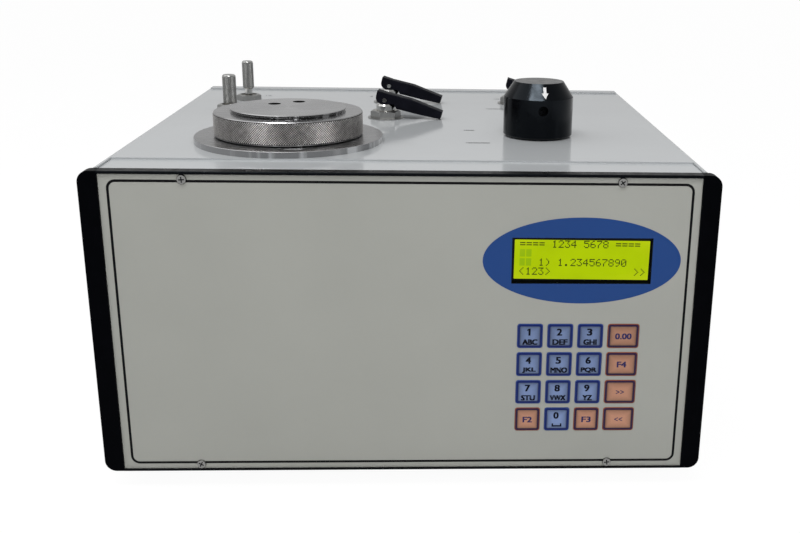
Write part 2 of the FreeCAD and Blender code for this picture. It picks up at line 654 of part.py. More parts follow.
def make_rear_panel():
    """Rear sheet with a flange over the cover, vents and the cut-outs of the rear fittings."""
    panel = new_body("rear_panel")
    back = size.case_depth
    flange_half = cover_outer - size.cover_bend
    extrude(panel, "y", rear_inside, size.rear_sheet, [("line", [
        (-cover_outer, case_bottom), (-cover_outer, deck), (cover_outer, deck),
        (cover_outer, case_bottom)])])
    dress_edges(panel, "Fillet", size.cover_bend, lambda edge: (
        runs_along(AXIS_Y)(edge) and edge.CenterOfMass.z > deck.number - TOUCH))
    extrude(panel, "x", -flange_half, flange_half * 2, [("line", [
        (back, deck - size.cover_bend), (back, deck + size.sheet),
        (back - size.rear_flange, deck + size.sheet), (back - size.rear_flange, deck),
        (rear_inside, deck), (rear_inside, deck - size.cover_bend)])])
    cuts = [("box", inlet_x, size.inlet_level, size.inlet_body_width + size.sheet_gap * 2,
             size.inlet_body_height + size.sheet_gap * 2),
            ("box", port_x, size.port_level, size.port_body_width + size.sheet_gap * 2,
             size.port_body_height + size.sheet_gap * 2)]
    cuts += [("disc", port_x + size.port_post_side * side, size.port_level,
              size.screw_shank + size.fit_gap) for side in (-1, 1)]
    cuts += [("disc", x, z, size.fitting_thread + size.hole_gap) for x, z in fitting_places()]
    cuts += [("disc", inlet_x + size.inlet_hole_side * side, size.inlet_level,
              size.screw_shank + size.fit_gap) for side in (-1, 1)]
    extrude(panel, "y", rear_inside, size.rear_sheet, cuts, cut=True)
    slot = extrude(panel, "y", rear_inside, size.rear_sheet,
                   [("box", -size.vent_start, size.rear_vent_level, size.vent_width,
                     size.rear_vent_height)], cut=True)
    repeat_along(panel, slot, "H_Axis", size.vent_pitch * (size.vent_count - 1), size.vent_count)


def make_feet():
    foot = new_master("foot_rubber")
    sole = size.foot_radius - size.foot_taper
    hole = size.screw_shank + size.fit_gap
    turn_profile(foot, [(size.foot_recess, 0), (sole, 0), (size.foot_radius, size.foot_height),
                        (hole, size.foot_height), (hole, size.foot_recess_depth),
                        (size.foot_recess, size.foot_recess_depth)])
    group("feet", [(foot, foot_side * side, y, 0, AXIS_Z, 0)
                   for side in (-1, 1) for y in foot_rows])


def make_case_screws():
    """Pan-head screws: panel, cover sides, feet and mains inlet."""
    screw = new_master("pan_screw")
    turn_profile(screw, [(0, -size.screw_length), (size.screw_shank, -size.screw_length),
                         (size.screw_shank, 0), (size.screw_head, 0),
                         (size.screw_head - size.rail_chamfer, size.screw_head_height),
                         (0, size.screw_head_height)])
    copies = [(screw, x, size.panel_recess, z, AXIS_X, 90) for x, z in panel_screw_places()]
    level = case_bottom + size.side_screw_level
    for side in (-1, 1):
        for y in side_screw_rows:
            copies.append((screw, cover_outer * side, y, level, AXIS_Y, 90 * side))
        for y in foot_rows:
            copies.append((screw, foot_side * side, y, size.foot_recess_depth, AXIS_X, 180))
        copies.append((screw, inlet_x + size.inlet_hole_side * side,
                       size.case_depth + size.inlet_plate, size.inlet_level, AXIS_X, -90))
    group("case_screws", copies)


# ---------------------------------------------------------------- electronics


def make_main_board():
    width, depth = size.board_width, size.board_depth
    board = new_body("main_board", half_width - size.board_from_right, size.board_y, tray_floor)
    inset_x = width / 2 - size.board_inset
    inset_y = depth / 2 - size.board_inset
    posts = [("disc", inset_x * side, inset_y * end, size.board_post)
             for side in (-1, 1) for end in (-1, 1)]
    top = size.board_lift + size.board
    extrude(board, "z", size.board_lift, size.board, [("box", 0, 0, width, depth)])
    extrude(board, "z", 0, size.board_lift, posts)
    chips = [("box", size.chip_pitch * column, 0, size.chip_size, size.chip_size)
             for column in (-1, 0, 1)]
    extrude(board, "z", top, size.chip_height, chips)
    relay_y = size.relay_margin + size.relay_length / 2 - depth / 2
    relays = [("box", size.chip_pitch / 2 * half, relay_y, size.relay_width, size.relay_length)
              for half in (-3, -1, 1, 3)]
    extrude(board, "z", top, size.relay_height, relays)
    header_y = depth / 2 - size.header_margin - size.header_width / 2
    extrude(board, "z", top, size.header_height,
            [("box", 0, header_y, size.header_length, size.header_width)])


def make_power_supply():
    """Screened supply just in front of the mains inlet."""
    centre_y = (size.case_depth - size.inlet_body_depth - size.supply_gap
                - size.supply_depth / 2)
    supply = new_body("power_supply", half_width - size.supply_from_right, centre_y, tray_floor)
    margin = size.supply_margin * 2
    extrude(supply, "z", 0, size.supply_plate, [("box", 0, 0, size.supply_width, size.supply_depth)])
    extrude(supply, "z", size.supply_plate, size.supply_height,
            [("box", 0, 0, size.supply_width - margin, size.supply_depth)])
    run = size.slot_pitch * (size.slot_count - 1)
    top = size.supply_plate + size.supply_height - size.slot_depth
    slot = extrude(supply, "z", top, size.slot_depth,
                   [("box", -run / 2, 0, size.slot_width, size.slot_length)], cut=True)
    repeat_along(supply, slot, "H_Axis", run, size.slot_count)


def make_power_inlet():
    """Mains inlet and switch frame in one moulding, with the switch's pivot across its recess."""
    inlet = new_body("power_inlet", inlet_x, size.case_depth, size.inlet_level)
    extrude(inlet, "y", 0, size.inlet_plate,
            [("box", 0, 0, size.inlet_plate_width, size.inlet_plate_height)])
    dress_edges(inlet, "Fillet", size.inlet_corner, runs_along(AXIS_Y))
    extrude(inlet, "y", -size.inlet_body_depth, size.inlet_body_depth,
            [("box", 0, 0, size.inlet_body_width, size.inlet_body_height)])
    left, low = -size.socket_width / 2, -size.socket_drop - size.socket_height / 2
    right, high = size.socket_width / 2, -size.socket_drop + size.socket_height / 2
    cut = size.socket_chamfer
    extrude(inlet, "y", size.inlet_plate - size.socket_depth, size.socket_depth, [("line", [
        (left, low), (right, low), (right, high - cut), (right - cut, high), (left + cut, high),
        (left, high - cut)])], cut=True)
    extrude(inlet, "y", size.inlet_plate - size.switch_depth, size.switch_depth,
            [("box", 0, size.switch_rise, size.switch_width, size.switch_height)], cut=True)
    blades = [("box", -size.blade_side, -size.socket_drop - size.blade_low, size.blade_width,
               size.blade_height),
              ("box", size.blade_side, -size.socket_drop - size.blade_low, size.blade_width,
               size.blade_height),
              ("box", 0, -size.socket_drop + size.blade_high, size.blade_width,
               size.blade_height)]
    extrude(inlet, "y", size.inlet_plate - size.socket_depth, size.blade_length, blades)
    holes = [("disc", size.inlet_hole_side * side, 0, size.screw_shank + size.fit_gap)
             for side in (-1, 1)]
    extrude(inlet, "y", 0, size.inlet_plate, holes, cut=True)
    extrude(inlet, "x", -size.switch_width / 2, size.switch_width,
            [("disc", size.inlet_plate - size.rocker_pin_depth, size.switch_rise,
              size.rocker_pin)])


def make_power_rocker():
    rocker = new_body("power_rocker", inlet_x,
                      size.case_depth + size.inlet_plate - size.rocker_pin_depth,
                      size.inlet_level + size.switch_rise, AXIS_X, size.rocker_tilt)
    extrude(rocker, "x", -size.rocker_width / 2, size.rocker_width, [("line", [
        (-size.rocker_deep, -size.rocker_root), (-size.rocker_deep, size.rocker_root),
        (size.rocker_proud, size.rocker_half), (size.rocker_valley, 0),
        (size.rocker_proud, -size.rocker_half)])])
    extrude(rocker, "x", -size.rocker_width / 2, size.rocker_width,
            [("disc", 0, 0, size.rocker_pin + size.running_gap)], cut=True)


def make_serial_port():
    port = new_body("serial_port", port_x, size.case_depth, size.port_level)
    extrude(port, "y", 0, size.port_plate,
            [("box", 0, 0, size.port_plate_width, size.port_plate_height)])
    taper = size.port_shell_taper
    right, high = size.port_shell_width / 2, size.port_shell_height / 2
    extrude(port, "y", size.port_plate, size.port_shell_reach, [("line", [
        (-right, high), (right, high), (right - taper, -high), (-right + taper, -high)])])
    extrude(port, "y", -size.port_body_depth, size.port_body_depth,
            [("box", 0, 0, size.port_body_width, size.port_body_height)])
    posts = [("line", hexagon(size.port_post_side * side, 0, size.port_post * 2))
             for side in (-1, 1)]
    extrude(port, "y", size.port_plate, size.port_post_length, posts)


# ---------------------------------------------------------------- sample chamber and lid


def make_chamber_body():
    """Chamber with its deck flange, its spigot for the lid ring and a port on its right side."""
    chamber = new_body("chamber_body", chamber_x, size.chamber_y, deck)
    edge = size.flange_chamfer
    turn_profile(chamber, [
        (0, -size.chamber_depth), (size.chamber_radius, -size.chamber_depth),
        (size.chamber_radius, 0), (size.flange_radius, 0),
        (size.flange_radius, size.flange_thickness - edge),
        (size.flange_radius - edge, size.flange_thickness),
        (size.spigot_radius, size.flange_thickness), (size.spigot_radius, size.spigot_height),
        (size.bore_radius, size.spigot_height),
        (size.bore_radius, size.chamber_floor - size.chamber_depth),
        (0, size.chamber_floor - size.chamber_depth)])
    port_level = -size.port_hole_level
    radius = size.port_hole + size.fit_gap
    depth = size.chamber_radius - size.bore_radius
    extrude(chamber, "x", size.bore_radius - size.fit_gap, depth + size.fit_gap,
            [("disc", 0, port_level, radius)], cut=True)
    extrude(chamber, "z", -size.chamber_depth, size.chamber_floor,
            [("disc", 0, 0, size.tube_radius + size.fit_gap)], cut=True)


def make_sample_cup():
    cup = new_body("sample_cup", chamber_x, size.chamber_y,
                   deck - size.chamber_depth + size.chamber_floor)
    inner = size.cup_radius - size.cup_wall
    turn_profile(cup, [(0, 0), (size.cup_radius, 0),
                       (size.cup_radius, size.cup_height), (inner, size.cup_height),
                       (inner, size.cup_floor), (0, size.cup_floor)])
    dress_edges(cup, "Fillet", size.cup_rim, lambda edge: abs(
        edge.BoundBox.ZMax - size.cup_height.number) < TOUCH and edge.BoundBox.ZLength < TOUCH)


def lid_levels():
    """Underside of the disc's shoulder and underside of the ring's lip."""
    shoulder_low = size.spigot_height + size.disc_lift
    return shoulder_low, shoulder_low + size.disc_shoulder_height


def make_lid_disc():
    """Closing disc: plug below, shoulder under the ring's lip, raised face with spanner holes."""
    disc = new_body("lid_disc", chamber_x, size.chamber_y, deck)
    shoulder_low, shoulder_high = lid_levels()
    plug = size.bore_radius - size.plug_gap
    seat_in = size.seal_radius - size.seal_section
    seat_out = size.seal_radius + size.seal_section
    seat_top = size.spigot_height + size.seal_section * 2 + size.seal_squeeze
    edge, groove = size.disc_edge, size.disc_groove
    turn_profile(disc, [
        (0, shoulder_low - size.plug_depth), (plug, shoulder_low - size.plug_depth),
        (plug, shoulder_low), (seat_in, shoulder_low), (seat_in, seat_top), (seat_out, seat_top),
        (seat_out, shoulder_low), (size.disc_shoulder, shoulder_low),
        (size.disc_shoulder, shoulder_high), (size.disc_radius, shoulder_high),
        (size.disc_radius, size.ring_top - size.running_gap),
        (size.disc_radius - groove, size.ring_top),
        (size.disc_radius - groove, size.ring_top + size.disc_groove_height - groove),
        (size.disc_radius, size.ring_top + size.disc_groove_height),
        (size.disc_radius, size.disc_top - edge), (size.disc_radius - edge, size.disc_top),
        (0, size.disc_top)])
    holes = [("disc", size.spanner_x, size.spanner_y, size.spanner_radius),
             ("disc", size.spanner_far_x, size.spanner_far_y, size.spanner_radius)]
    extrude(disc, "z", size.disc_top - size.spanner_depth, size.spanner_depth, holes, cut=True)


def make_lid_seal():
    seal = doc.addObject("Part::Torus", "lid_seal")
    seal.Label = "lid_seal"
    bind(seal, "Radius1", size.seal_radius)
    bind(seal, "Radius2", size.seal_section - size.seal_squeeze)
    place(seal, chamber_x, size.chamber_y, deck + size.spigot_height + size.seal_section)
    pieces.append(seal)


def make_lid_ring():
    """Screw ring: runs on the spigot and holds the disc down by its inner lip."""
    ring = new_body("lid_ring", chamber_x, size.chamber_y, deck)
    inner = size.spigot_radius + size.ring_gap
    lip = size.disc_radius + size.ring_gap
    lip_level = size.ring_top - size.ring_lip
    edge = size.ring_chamfer
    turn_profile(ring, [
        (inner, size.ring_bottom), (size.ring_radius - edge / 2, size.ring_bottom),
        (size.ring_radius, size.ring_bottom + edge / 2), (size.ring_radius, size.ring_top - edge),
        (size.ring_radius - edge, size.ring_top), (lip, size.ring_top), (lip, lip_level),
        (inner, lip_level)])


# ---------------------------------------------------------------- needle valves


def needle_places():
    return [(size.needle_front_from_left - half_width, size.needle_front_y),
            (size.needle_rear_from_left - half_width, size.needle_rear_y)]


def make_needle_valve_bodies():
    """Square block with its seat, a shoulder under the deck and a threaded neck above it."""
    valve = new_master("needle_valve_body")
    under = -size.sheet
    top = size.needle_nut_height - size.needle_neck_recess
    block_top = under - size.needle_shoulder_height
    extrude(valve, "z", block_top - size.needle_block_depth, size.needle_block_depth,
            [("box", 0, 0, size.needle_block, size.needle_block)])
    extrude(valve, "z", block_top, size.needle_shoulder_height,
            [("disc", 0, 0, size.needle_shoulder)])
    extrude(valve, "z", under, top - under, [("disc", 0, 0, size.needle_neck)])
    extrude(valve, "z", -size.needle_seat_depth, top + size.needle_seat_depth,
            [("disc", 0, 0, size.needle_rod + size.running_gap)], cut=True)
    passage = size.needle_block_depth - block_top - size.needle_seat_depth
    extrude(valve, "z", block_top - size.needle_block_depth, passage,
            [("disc", 0, 0, size.needle_seat)], cut=True)
    group("needle_valve_bodies", [(valve, x, y, deck, AXIS_Z, 0) for x, y in needle_places()])


def make_needle(name, place_xy, lift, knob_radius):
    """A needle that rises and falls, and the knob that turns on it."""
    x, y = place_xy
    closed_lift = size.needle_front_lift
    tip_level = lift - closed_lift - size.needle_seat_depth
    needle = new_body("needle_" + name, x, y, deck)
    rod = size.needle_rod
    turn_profile(needle, [
        (0, tip_level), (size.needle_seat - size.running_gap, tip_level),
        (rod, tip_level + size.needle_tip), (rod, lift + size.needle_grip),
        (0, lift + size.needle_grip)])
    knob = new_body("needle_knob_" + name, x, y, deck)
    edge = size.needle_knob_chamfer
    bore = rod + size.running_gap
    turn_profile(knob, [
        (bore, lift), (knob_radius - edge / 2, lift), (knob_radius, lift + edge / 2),
        (knob_radius, lift + size.needle_knob_length - edge),
        (knob_radius - edge, lift + size.needle_knob_length), (0, lift + size.needle_knob_length),
        (0, lift + size.needle_grip + size.running_gap),
        (bore, lift + size.needle_grip + size.running_gap)])


# ---------------------------------------------------------------- toggle valves


def toggle_places():
    return [(size.toggle_front_x, size.toggle_front_y), (size.toggle_rear_x, size.toggle_rear_y),
            (half_width - size.toggle_right_from_right, size.toggle_right_y)]


def make_toggle_valve_bodies():
    valve = new_master("toggle_valve_body")
    under = -size.sheet
    low = under - size.toggle_shoulder_height
    turn_profile(valve, [
        (0, low - size.toggle_body_depth), (size.toggle_body, low - size.toggle_body_depth),
        (size.toggle_body, low), (size.toggle_shoulder, low), (size.toggle_shoulder, under),
        (size.toggle_neck, under), (size.toggle_neck, toggle_nut_top),
        (size.stem_radius + size.running_gap, toggle_nut_top),
        (size.stem_radius + size.running_gap, -size.stem_depth - size.fit_gap),
        (size.stem_tip, -size.stem_depth - size.fit_gap - size.stem_tip),
        (0, -size.stem_depth - size.fit_gap - size.stem_tip)])
    group("toggle_valve_bodies", [(valve, x, y, deck, AXIS_Z, 0) for x, y in toggle_places()])


def make_toggle_bonnets():
    bonnet = new_master("toggle_bonnet")
    bore = size.stem_radius + size.running_gap
    low = toggle_nut_top
    turn_profile(bonnet, [
        (bore, low), (size.bonnet_radius, low), (size.bonnet_radius, low + size.bonnet_straight),
        (size.bonnet_top, bonnet_level), (bore, bonnet_level)])
    group("toggle_bonnets", [(bonnet, x, y, deck, AXIS_Z, 0) for x, y in toggle_places()])


def make_toggle_stem(name, x, y):
    """Rising stem with a domed head, and the cross pin that the lever turns on."""
    stem = new_body("toggle_stem_" + name, x, y, deck, AXIS_Z, size.lever_heading)
    radius, tip = size.stem_radius, size.stem_tip
    turn_profile(stem, [
        (0, -size.stem_depth - tip), (tip, -size.stem_depth), (radius, -size.stem_depth),
        (radius, size.pin_height + radius), (0, size.pin_height + radius)])
    rounded = (size.pin_height + radius).number
    dress_edges(stem, "Fillet", radius - size.pin_radius, lambda edge: abs(
        edge.CenterOfMass.z - rounded) < TOUCH)
    extrude(stem, "y", -radius, radius * 2,
            [("disc", 0, size.pin_height, size.pin_radius + size.fit_gap)], cut=True)
    half_pin = size.lever_width / 2 + size.pin_proud
    extrude(stem, "y", -half_pin, half_pin * 2, [("disc", 0, size.pin_height, size.pin_radius)])


def make_toggle_handle(name, x, y):
    """Forked lever: an eccentric cam behind its pin lifts the stem as the lever goes up."""
    tilt = Rotation(AXIS_Z, size.lever_heading.number).multiply(
        Rotation(AXIS_Y, size.lever_droop.number))
    handle = new_body("toggle_handle_" + name, x, y, deck + size.pin_height, angle=tilt)
    droop = size.lever_droop
    foot_x = sine(droop) * size.cam_radius - cam_side
    foot_z = cam_up - cosine(droop) * size.cam_radius
    half = size.lever_width / 2
    extrude(handle, "y", -half, size.lever_width, [("line", [
        (-cam_side - size.cam_radius, cam_up), (-cam_side, cam_up), (foot_x, foot_z),
        (foot_x + cosine(droop) * size.foot_run, foot_z + sine(droop) * size.foot_run),
        (size.lever_step, size.lever_step_bottom), (size.lever_mid, size.lever_mid_bottom),
        (size.lever_reach, size.lever_tip_bottom), (size.lever_reach, size.lever_tip_top),
        (-size.lever_head, size.lever_head_top)])])
    extrude(handle, "y", -half, size.lever_width,
            [("disc", -cam_side, cam_up, size.cam_radius)])
    edge_y = half.number - TOUCH
    far_x = size.lever_mid.number

    def top_edge(edge):
        middle = edge.CenterOfMass
        along = edge.BoundBox.XLength > far_x and middle.z > 0
        end = middle.x > far_x and edge.BoundBox.XLength < TOUCH and edge.BoundBox.YLength < TOUCH
        return abs(middle.y) > edge_y and (along or end)
    dress_edges(handle, "Fillet", size.lever_edge, top_edge)
    far = size.lever_reach
    extrude(handle, "y", -size.lever_slot / 2, size.lever_slot, [("line", [
        (size.slot_front, -far), (size.slot_front, size.slot_roof), (-far, size.slot_roof),
        (-far, -far)])], cut=True)
    extrude(handle, "y", -half, size.lever_width,
            [("disc", 0, 0, size.pin_radius + size.running_gap)], cut=True)


def new_nut(name, low, height, flats, neck):
    """A hexagon nut whose upper corners are turned off at an angle."""
    nut = new_master(name)
    extrude(nut, "z", low, height,
            [("line", hexagon(0, 0, flats)), ("disc", 0, 0, neck + size.fit_gap)])
    top = low + height
    inner = flats / 2 - size.nut_chamfer / 2
    outer = inner + size.nut_corner
    turn_profile(nut, [(inner, top), (outer, top), (outer, top - size.nut_chamfer)], cut=True)
    return nut


def make_panel_nuts():
    """Hexagon nuts of the five panel-mounted valves, and the toggle valves' washers."""
    needle_nut = new_nut("needle_nut", 0, size.needle_nut_height, size.needle_nut_flats,
                         size.needle_neck)
    toggle_nut = new_nut("toggle_nut", size.washer, size.toggle_nut_height,
                         size.toggle_nut_flats, size.toggle_neck)
    washer = new_master("toggle_washer")
    extrude(washer, "z", 0, size.washer, [("disc", 0, 0, size.washer_radius),
                                          ("disc", 0, 0, size.toggle_neck + size.fit_gap)])
    copies = [(needle_nut, x, y, deck, AXIS_Z, size.nut_turn) for x, y in needle_places()]
    for x, y in toggle_places():
        copies.append((toggle_nut, x, y, deck, AXIS_Z, size.nut_turn))
        copies.append((washer, x, y, deck, AXIS_Z, 0))
    group("panel_nuts", copies)


# ---------------------------------------------------------------- selector valve


def make_selector():
    x, y = selector_x, size.selector_y
    body = new_body("selector_body", x, y, deck)
    under = -size.sheet
    low = under - size.selector_body_depth
    shaft_bore = size.shaft_radius + size.running_gap
    rotor_bore = size.rotor_radius + size.running_gap
    turn_profile(body, [
        (rotor_bore, low), (size.selector_body, low), (size.selector_body, under),
        (size.selector_bush, under), (size.selector_bush, size.selector_bush_top),
        (shaft_bore, size.selector_bush_top), (shaft_bore, size.fit_gap - size.rotor_top),
        (rotor_bore, size.fit_gap - size.rotor_top)])
    rotor = new_body("selector_rotor", x, y, deck, AXIS_Z, size.knob_heading)
    rotor_low = -size.rotor_top - size.rotor_length
    turn_profile(rotor, [
        (0, rotor_low), (size.rotor_radius, rotor_low), (size.rotor_radius, -size.rotor_top),
        (size.shaft_radius, -size.rotor_top), (size.shaft_radius, size.shaft_top),
        (0, size.shaft_top)])
    extrude(rotor, "y", -size.rotor_radius, size.rotor_radius * 2,
            [("disc", 0, rotor_low + size.rotor_length / 2, size.rotor_passage)], cut=True)
    knob = new_body("selector_knob", x, y, deck, AXIS_Z, size.knob_heading)
    edge = size.knob_edge
    turn_profile(knob, [
        (size.knob_recess, size.knob_bottom), (size.knob_radius - edge, size.knob_bottom),
        (size.knob_radius, size.knob_bottom + edge), (size.knob_radius, size.knob_shoulder),
        (size.knob_crown, size.knob_top), (0, size.knob_top), (0, size.knob_bore_top),
        (shaft_bore, size.knob_bore_top), (shaft_bore, size.knob_bottom + size.knob_recess_depth),
        (size.knob_recess, size.knob_bottom + size.knob_recess_depth)])
    extrude(knob, "y", -size.knob_radius, size.setscrew_depth,
            [("disc", 0, size.setscrew_level, size.setscrew_radius)], cut=True)


# ---------------------------------------------------------------- gas circuit


def tank_top():
    """Height of the reference tank's neck above the tray's floor, just under the chamber."""
    return chamber_bottom - size.tank_clearance - tray_floor


def make_reference_chamber():
    """Reference tank on the tray under the sample chamber, with domed ends and a neck."""
    tank = new_body("reference_chamber", chamber_x, size.chamber_y, tray_floor)
    low = size.tank_foot_thickness
    high = tank_top() - size.tank_neck_height
    radius, dome = size.tank_radius, size.tank_dome
    turn_profile(tank, [
        (0, 0), (size.tank_foot, 0), (size.tank_foot, low), (radius - dome, low),
        (radius, low + dome), (radius, high - dome), (radius - dome, high),
        (size.tank_neck, high), (size.tank_neck, tank_top()), (0, tank_top())])
    angles = [size.tank_foot_angle * step for step in range(3)]
    holes = [("disc", size.tank_foot_circle * cosine(angle), size.tank_foot_circle * sine(angle),
              size.tank_foot_hole) for angle in angles]
    extrude(tank, "z", 0, low, holes, cut=True)


def make_pressure_transducer():
    """Screwed into the chamber's side port, pointing to the right."""
    gauge = new_body("pressure_transducer", chamber_x + size.chamber_radius, size.chamber_y,
                     deck - size.port_hole_level)
    body_start = size.gauge_hex_length
    cap_start = body_start + size.gauge_length
    extrude(gauge, "x", 0, size.gauge_hex_length, [("line", hexagon(0, 0, size.gauge_hex_flats))])
    extrude(gauge, "x", -size.port_hole_depth, size.port_hole_depth,
            [("disc", 0, 0, size.port_hole)])
    extrude(gauge, "x", body_start, size.gauge_length, [("disc", 0, 0, size.gauge_radius)])
    extrude(gauge, "x", cap_start, size.gauge_cap_length, [("disc", 0, 0, size.gauge_cap)])


def fitting_places():
    """Gas supply below and vent above it, on the rear panel."""
    x = size.fitting_from_left - half_width
    return [(x, size.fitting_level), (x, size.fitting_level + size.fitting_pitch)]


def make_gas_fittings():
    """Bulkhead fittings with push-in sockets for plastic tube."""
    fitting = new_master("gas_fitting")
    reach = size.fitting_reach
    nut = size.fitting_nut_length
    extrude(fitting, "y", 0, nut, [("line", hexagon(0, 0, size.fitting_nut_flats))])
    extrude(fitting, "y", nut, reach - nut, [("disc", 0, 0, size.fitting_collar)])
    extrude(fitting, "y", -size.fitting_inside, size.fitting_inside,
            [("disc", 0, 0, size.fitting_thread)])
    extrude(fitting, "y", reach - size.fitting_bore_depth, size.fitting_bore_depth,
            [("disc", 0, 0, size.fitting_bore)], cut=True)
    group("gas_fittings", [(fitting, x, size.case_depth, z, AXIS_Z, 0)
                           for x, z in fitting_places()])


def tube_along(points):
    """A round tube along straight runs that are joined by tangent arcs."""
    corners = [Vector(*(quantity(value).number for value in point)) for point in points]
    edges = []
    start = corners[0]
    for corner, after in zip(corners[1:-1], corners[2:]):
        incoming = (corner - start).normalize()
        outgoing = (after - corner).normalize()
        turn = incoming.getAngle(outgoing)
        setback = size.tube_bend.number * math.tan(turn / 2)
        arc_start = corner - incoming * setback
        arc_end = corner + outgoing * setback
        inward = (outgoing - incoming).normalize()
        centre = corner + inward * (size.tube_bend.number / math.cos(turn / 2))
        arc_middle = centre - inward * size.tube_bend.number
        edges.append(Part.LineSegment(start, arc_start).toShape())
        edges.append(Part.Arc(arc_start, arc_middle, arc_end).toShape())
        start = arc_end
    edges.append(Part.LineSegment(start, corners[-1]).toShape())
    path = Part.Wire(edges)
    heading = (corners[1] - corners[0]).normalize()
    section = Part.Wire([Part.makeCircle(size.tube_radius.number, corners[0], heading)])
    return path.makePipeShell([section], True, False)


def make_gas_tubes():
    """Steel tubes: supply, fill, equalise, reference and vent lines."""
    block_low = deck - size.sheet - size.needle_shoulder_height - size.needle_block_depth
    valve_low = deck - size.sheet - size.toggle_shoulder_height - size.toggle_body_depth
    selector_low = deck - size.sheet - size.selector_body_depth
    fitting_end = size.case_depth - size.fitting_inside
    drop = size.tube_bend * 2
    (front_x, front_y), (rear_x, rear_y) = needle_places()
    (first_x, first_y), (second_x, second_y), (third_x, third_y) = toggle_places()
    (supply_x, supply_z), (vent_x, vent_z) = fitting_places()
    supply_turn = fitting_end - drop
    routes = [
        [(supply_x, fitting_end, supply_z), (supply_x, rear_y + drop, supply_z),
         (rear_x, rear_y, supply_z), (rear_x, rear_y, block_low)],
        [(vent_x, fitting_end, vent_z), (vent_x, supply_turn, vent_z),
         (second_x, supply_turn, vent_z), (second_x, second_y, vent_z),
         (second_x, second_y, valve_low)],
        [(front_x, front_y, block_low), (front_x, front_y, block_low - drop),
         (first_x, front_y, block_low - drop), (first_x, first_y, block_low - drop - size.tube_bend),
         (first_x, first_y, valve_low)],
        [(third_x, third_y, valve_low), (third_x, third_y, valve_low - drop),
         (selector_x, size.selector_y, valve_low - drop),
         (selector_x, size.selector_y, selector_low)],
        [(chamber_x, size.chamber_y, chamber_bottom + size.fit_gap),
         (chamber_x, size.chamber_y, tray_floor + tank_top())],
    ]
    tubes = doc.addObject("Part::Feature", "gas_tubes")
    tubes.Label = "gas_tubes"
    tubes.Shape = Part.makeCompound([tube_along(route) for route in routes])
    place(tubes)
    pieces.append(tubes)


# ---------------------------------------------------------------- build, check and write


def make_everything():
    make_front_pillars()
    make_front_rails()
    make_front_panel()
    make_front_overlay()
    make_keys()
    make_keypad_circuit()
    make_display_module()
    make_base_tray()
    make_top_cover()
    make_top_front_strip()
    make_rear_panel()
    make_feet()
    make_case_screws()
    make_main_board()
    make_power_supply()
    make_power_inlet()
    make_power_rocker()
    make_serial_port()
    make_chamber_body()
    make_sample_cup()
    make_lid_disc()
    make_lid_seal()
    make_lid_ring()
    make_needle_valve_bodies()
    places = needle_places()
    make_needle("front", places[0], size.needle_front_lift, size.needle_front_knob)
    make_needle("rear", places[1], size.needle_rear_lift, size.needle_rear_knob)
    make_toggle_valve_bodies()
    make_toggle_bonnets()
    for name, (x, y) in zip(("front", "rear", "right"), toggle_places()):
        make_toggle_stem(name, x, y)
        make_toggle_handle(name, x, y)
    make_panel_nuts()
    make_selector()
    make_reference_chamber()
    make_pressure_transducer()
    make_gas_fittings()
    make_gas_tubes()


def check_document():
    for thing in doc.Objects:
        if "Invalid" in thing.State or "Error" in thing.State:
            raise RuntimeError("%s failed: %s" % (thing.Label, thing.State))
    for piece in pieces:
        if piece.Shape.isNull() or not piece.Shape.isValid():
            raise RuntimeError("%s has no valid shape" % piece.Label)


def write_parts():
    os.makedirs("parts", exist_ok=True)
    for piece in pieces:
        piece.Shape.exportStep(os.path.join("parts", piece.Label + ".step"))


make_everything()
doc.recompute()
check_document()
write_parts()
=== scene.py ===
"""Looks of the benchtop density meter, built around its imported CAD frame.

The frame is in metres: X to the right, Y to the rear, Z up from the soles of the feet.
"""

import json
import math

import bmesh
import bpy
from bpy.props import FloatProperty, FloatVectorProperty, PointerProperty
from bpy.types import Operator, Panel, PropertyGroup
from mathutils import Matrix, Vector


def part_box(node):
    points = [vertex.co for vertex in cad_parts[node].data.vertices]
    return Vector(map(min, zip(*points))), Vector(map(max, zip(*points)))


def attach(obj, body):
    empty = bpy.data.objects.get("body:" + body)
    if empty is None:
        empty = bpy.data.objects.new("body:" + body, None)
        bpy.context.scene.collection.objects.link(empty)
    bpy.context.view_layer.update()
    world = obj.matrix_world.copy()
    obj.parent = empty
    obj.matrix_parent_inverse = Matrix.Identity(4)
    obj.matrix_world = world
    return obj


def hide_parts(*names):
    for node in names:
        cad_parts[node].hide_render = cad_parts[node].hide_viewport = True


bl_info = {
    "name": "Benchtop density meter",
    "version": (1, 0, 0),
    "blender": (4, 5, 0),
    "location": "View3D > Sidebar > Density meter",
    "description": "Finishes, prints and fine parts of a benchtop gas pycnometer",
    "category": "Object",
}

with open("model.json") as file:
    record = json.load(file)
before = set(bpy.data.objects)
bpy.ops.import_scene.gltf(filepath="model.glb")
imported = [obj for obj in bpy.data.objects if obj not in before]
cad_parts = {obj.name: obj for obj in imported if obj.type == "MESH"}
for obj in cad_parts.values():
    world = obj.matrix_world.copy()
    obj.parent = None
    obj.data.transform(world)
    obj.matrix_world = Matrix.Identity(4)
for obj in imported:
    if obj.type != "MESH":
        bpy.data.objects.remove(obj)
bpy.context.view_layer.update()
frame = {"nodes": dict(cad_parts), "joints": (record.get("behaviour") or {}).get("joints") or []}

MM = 0.001
# how far a print stands off the face under it
PRINT = 0.03 * MM


def tone(red, green, blue):
    """A colour given in the usual 0 to 255 steps, as the linear values that shaders use."""
    def linear(step):
        value = step / 255
        return value / 12.92 if value <= 0.04045 else ((value + 0.055) / 1.055) ** 2.4
    return linear(red), linear(green), linear(blue)


def middle(node):
    low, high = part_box(node)
    return (Vector(low) + Vector(high)) / 2


def span(node):
    low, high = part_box(node)
    return Vector(high) - Vector(low)


def front(node):
    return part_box(node)[0][1]


def levels(node):
    """A node's foot and top."""
    low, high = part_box(node)
    return low[2], high[2]


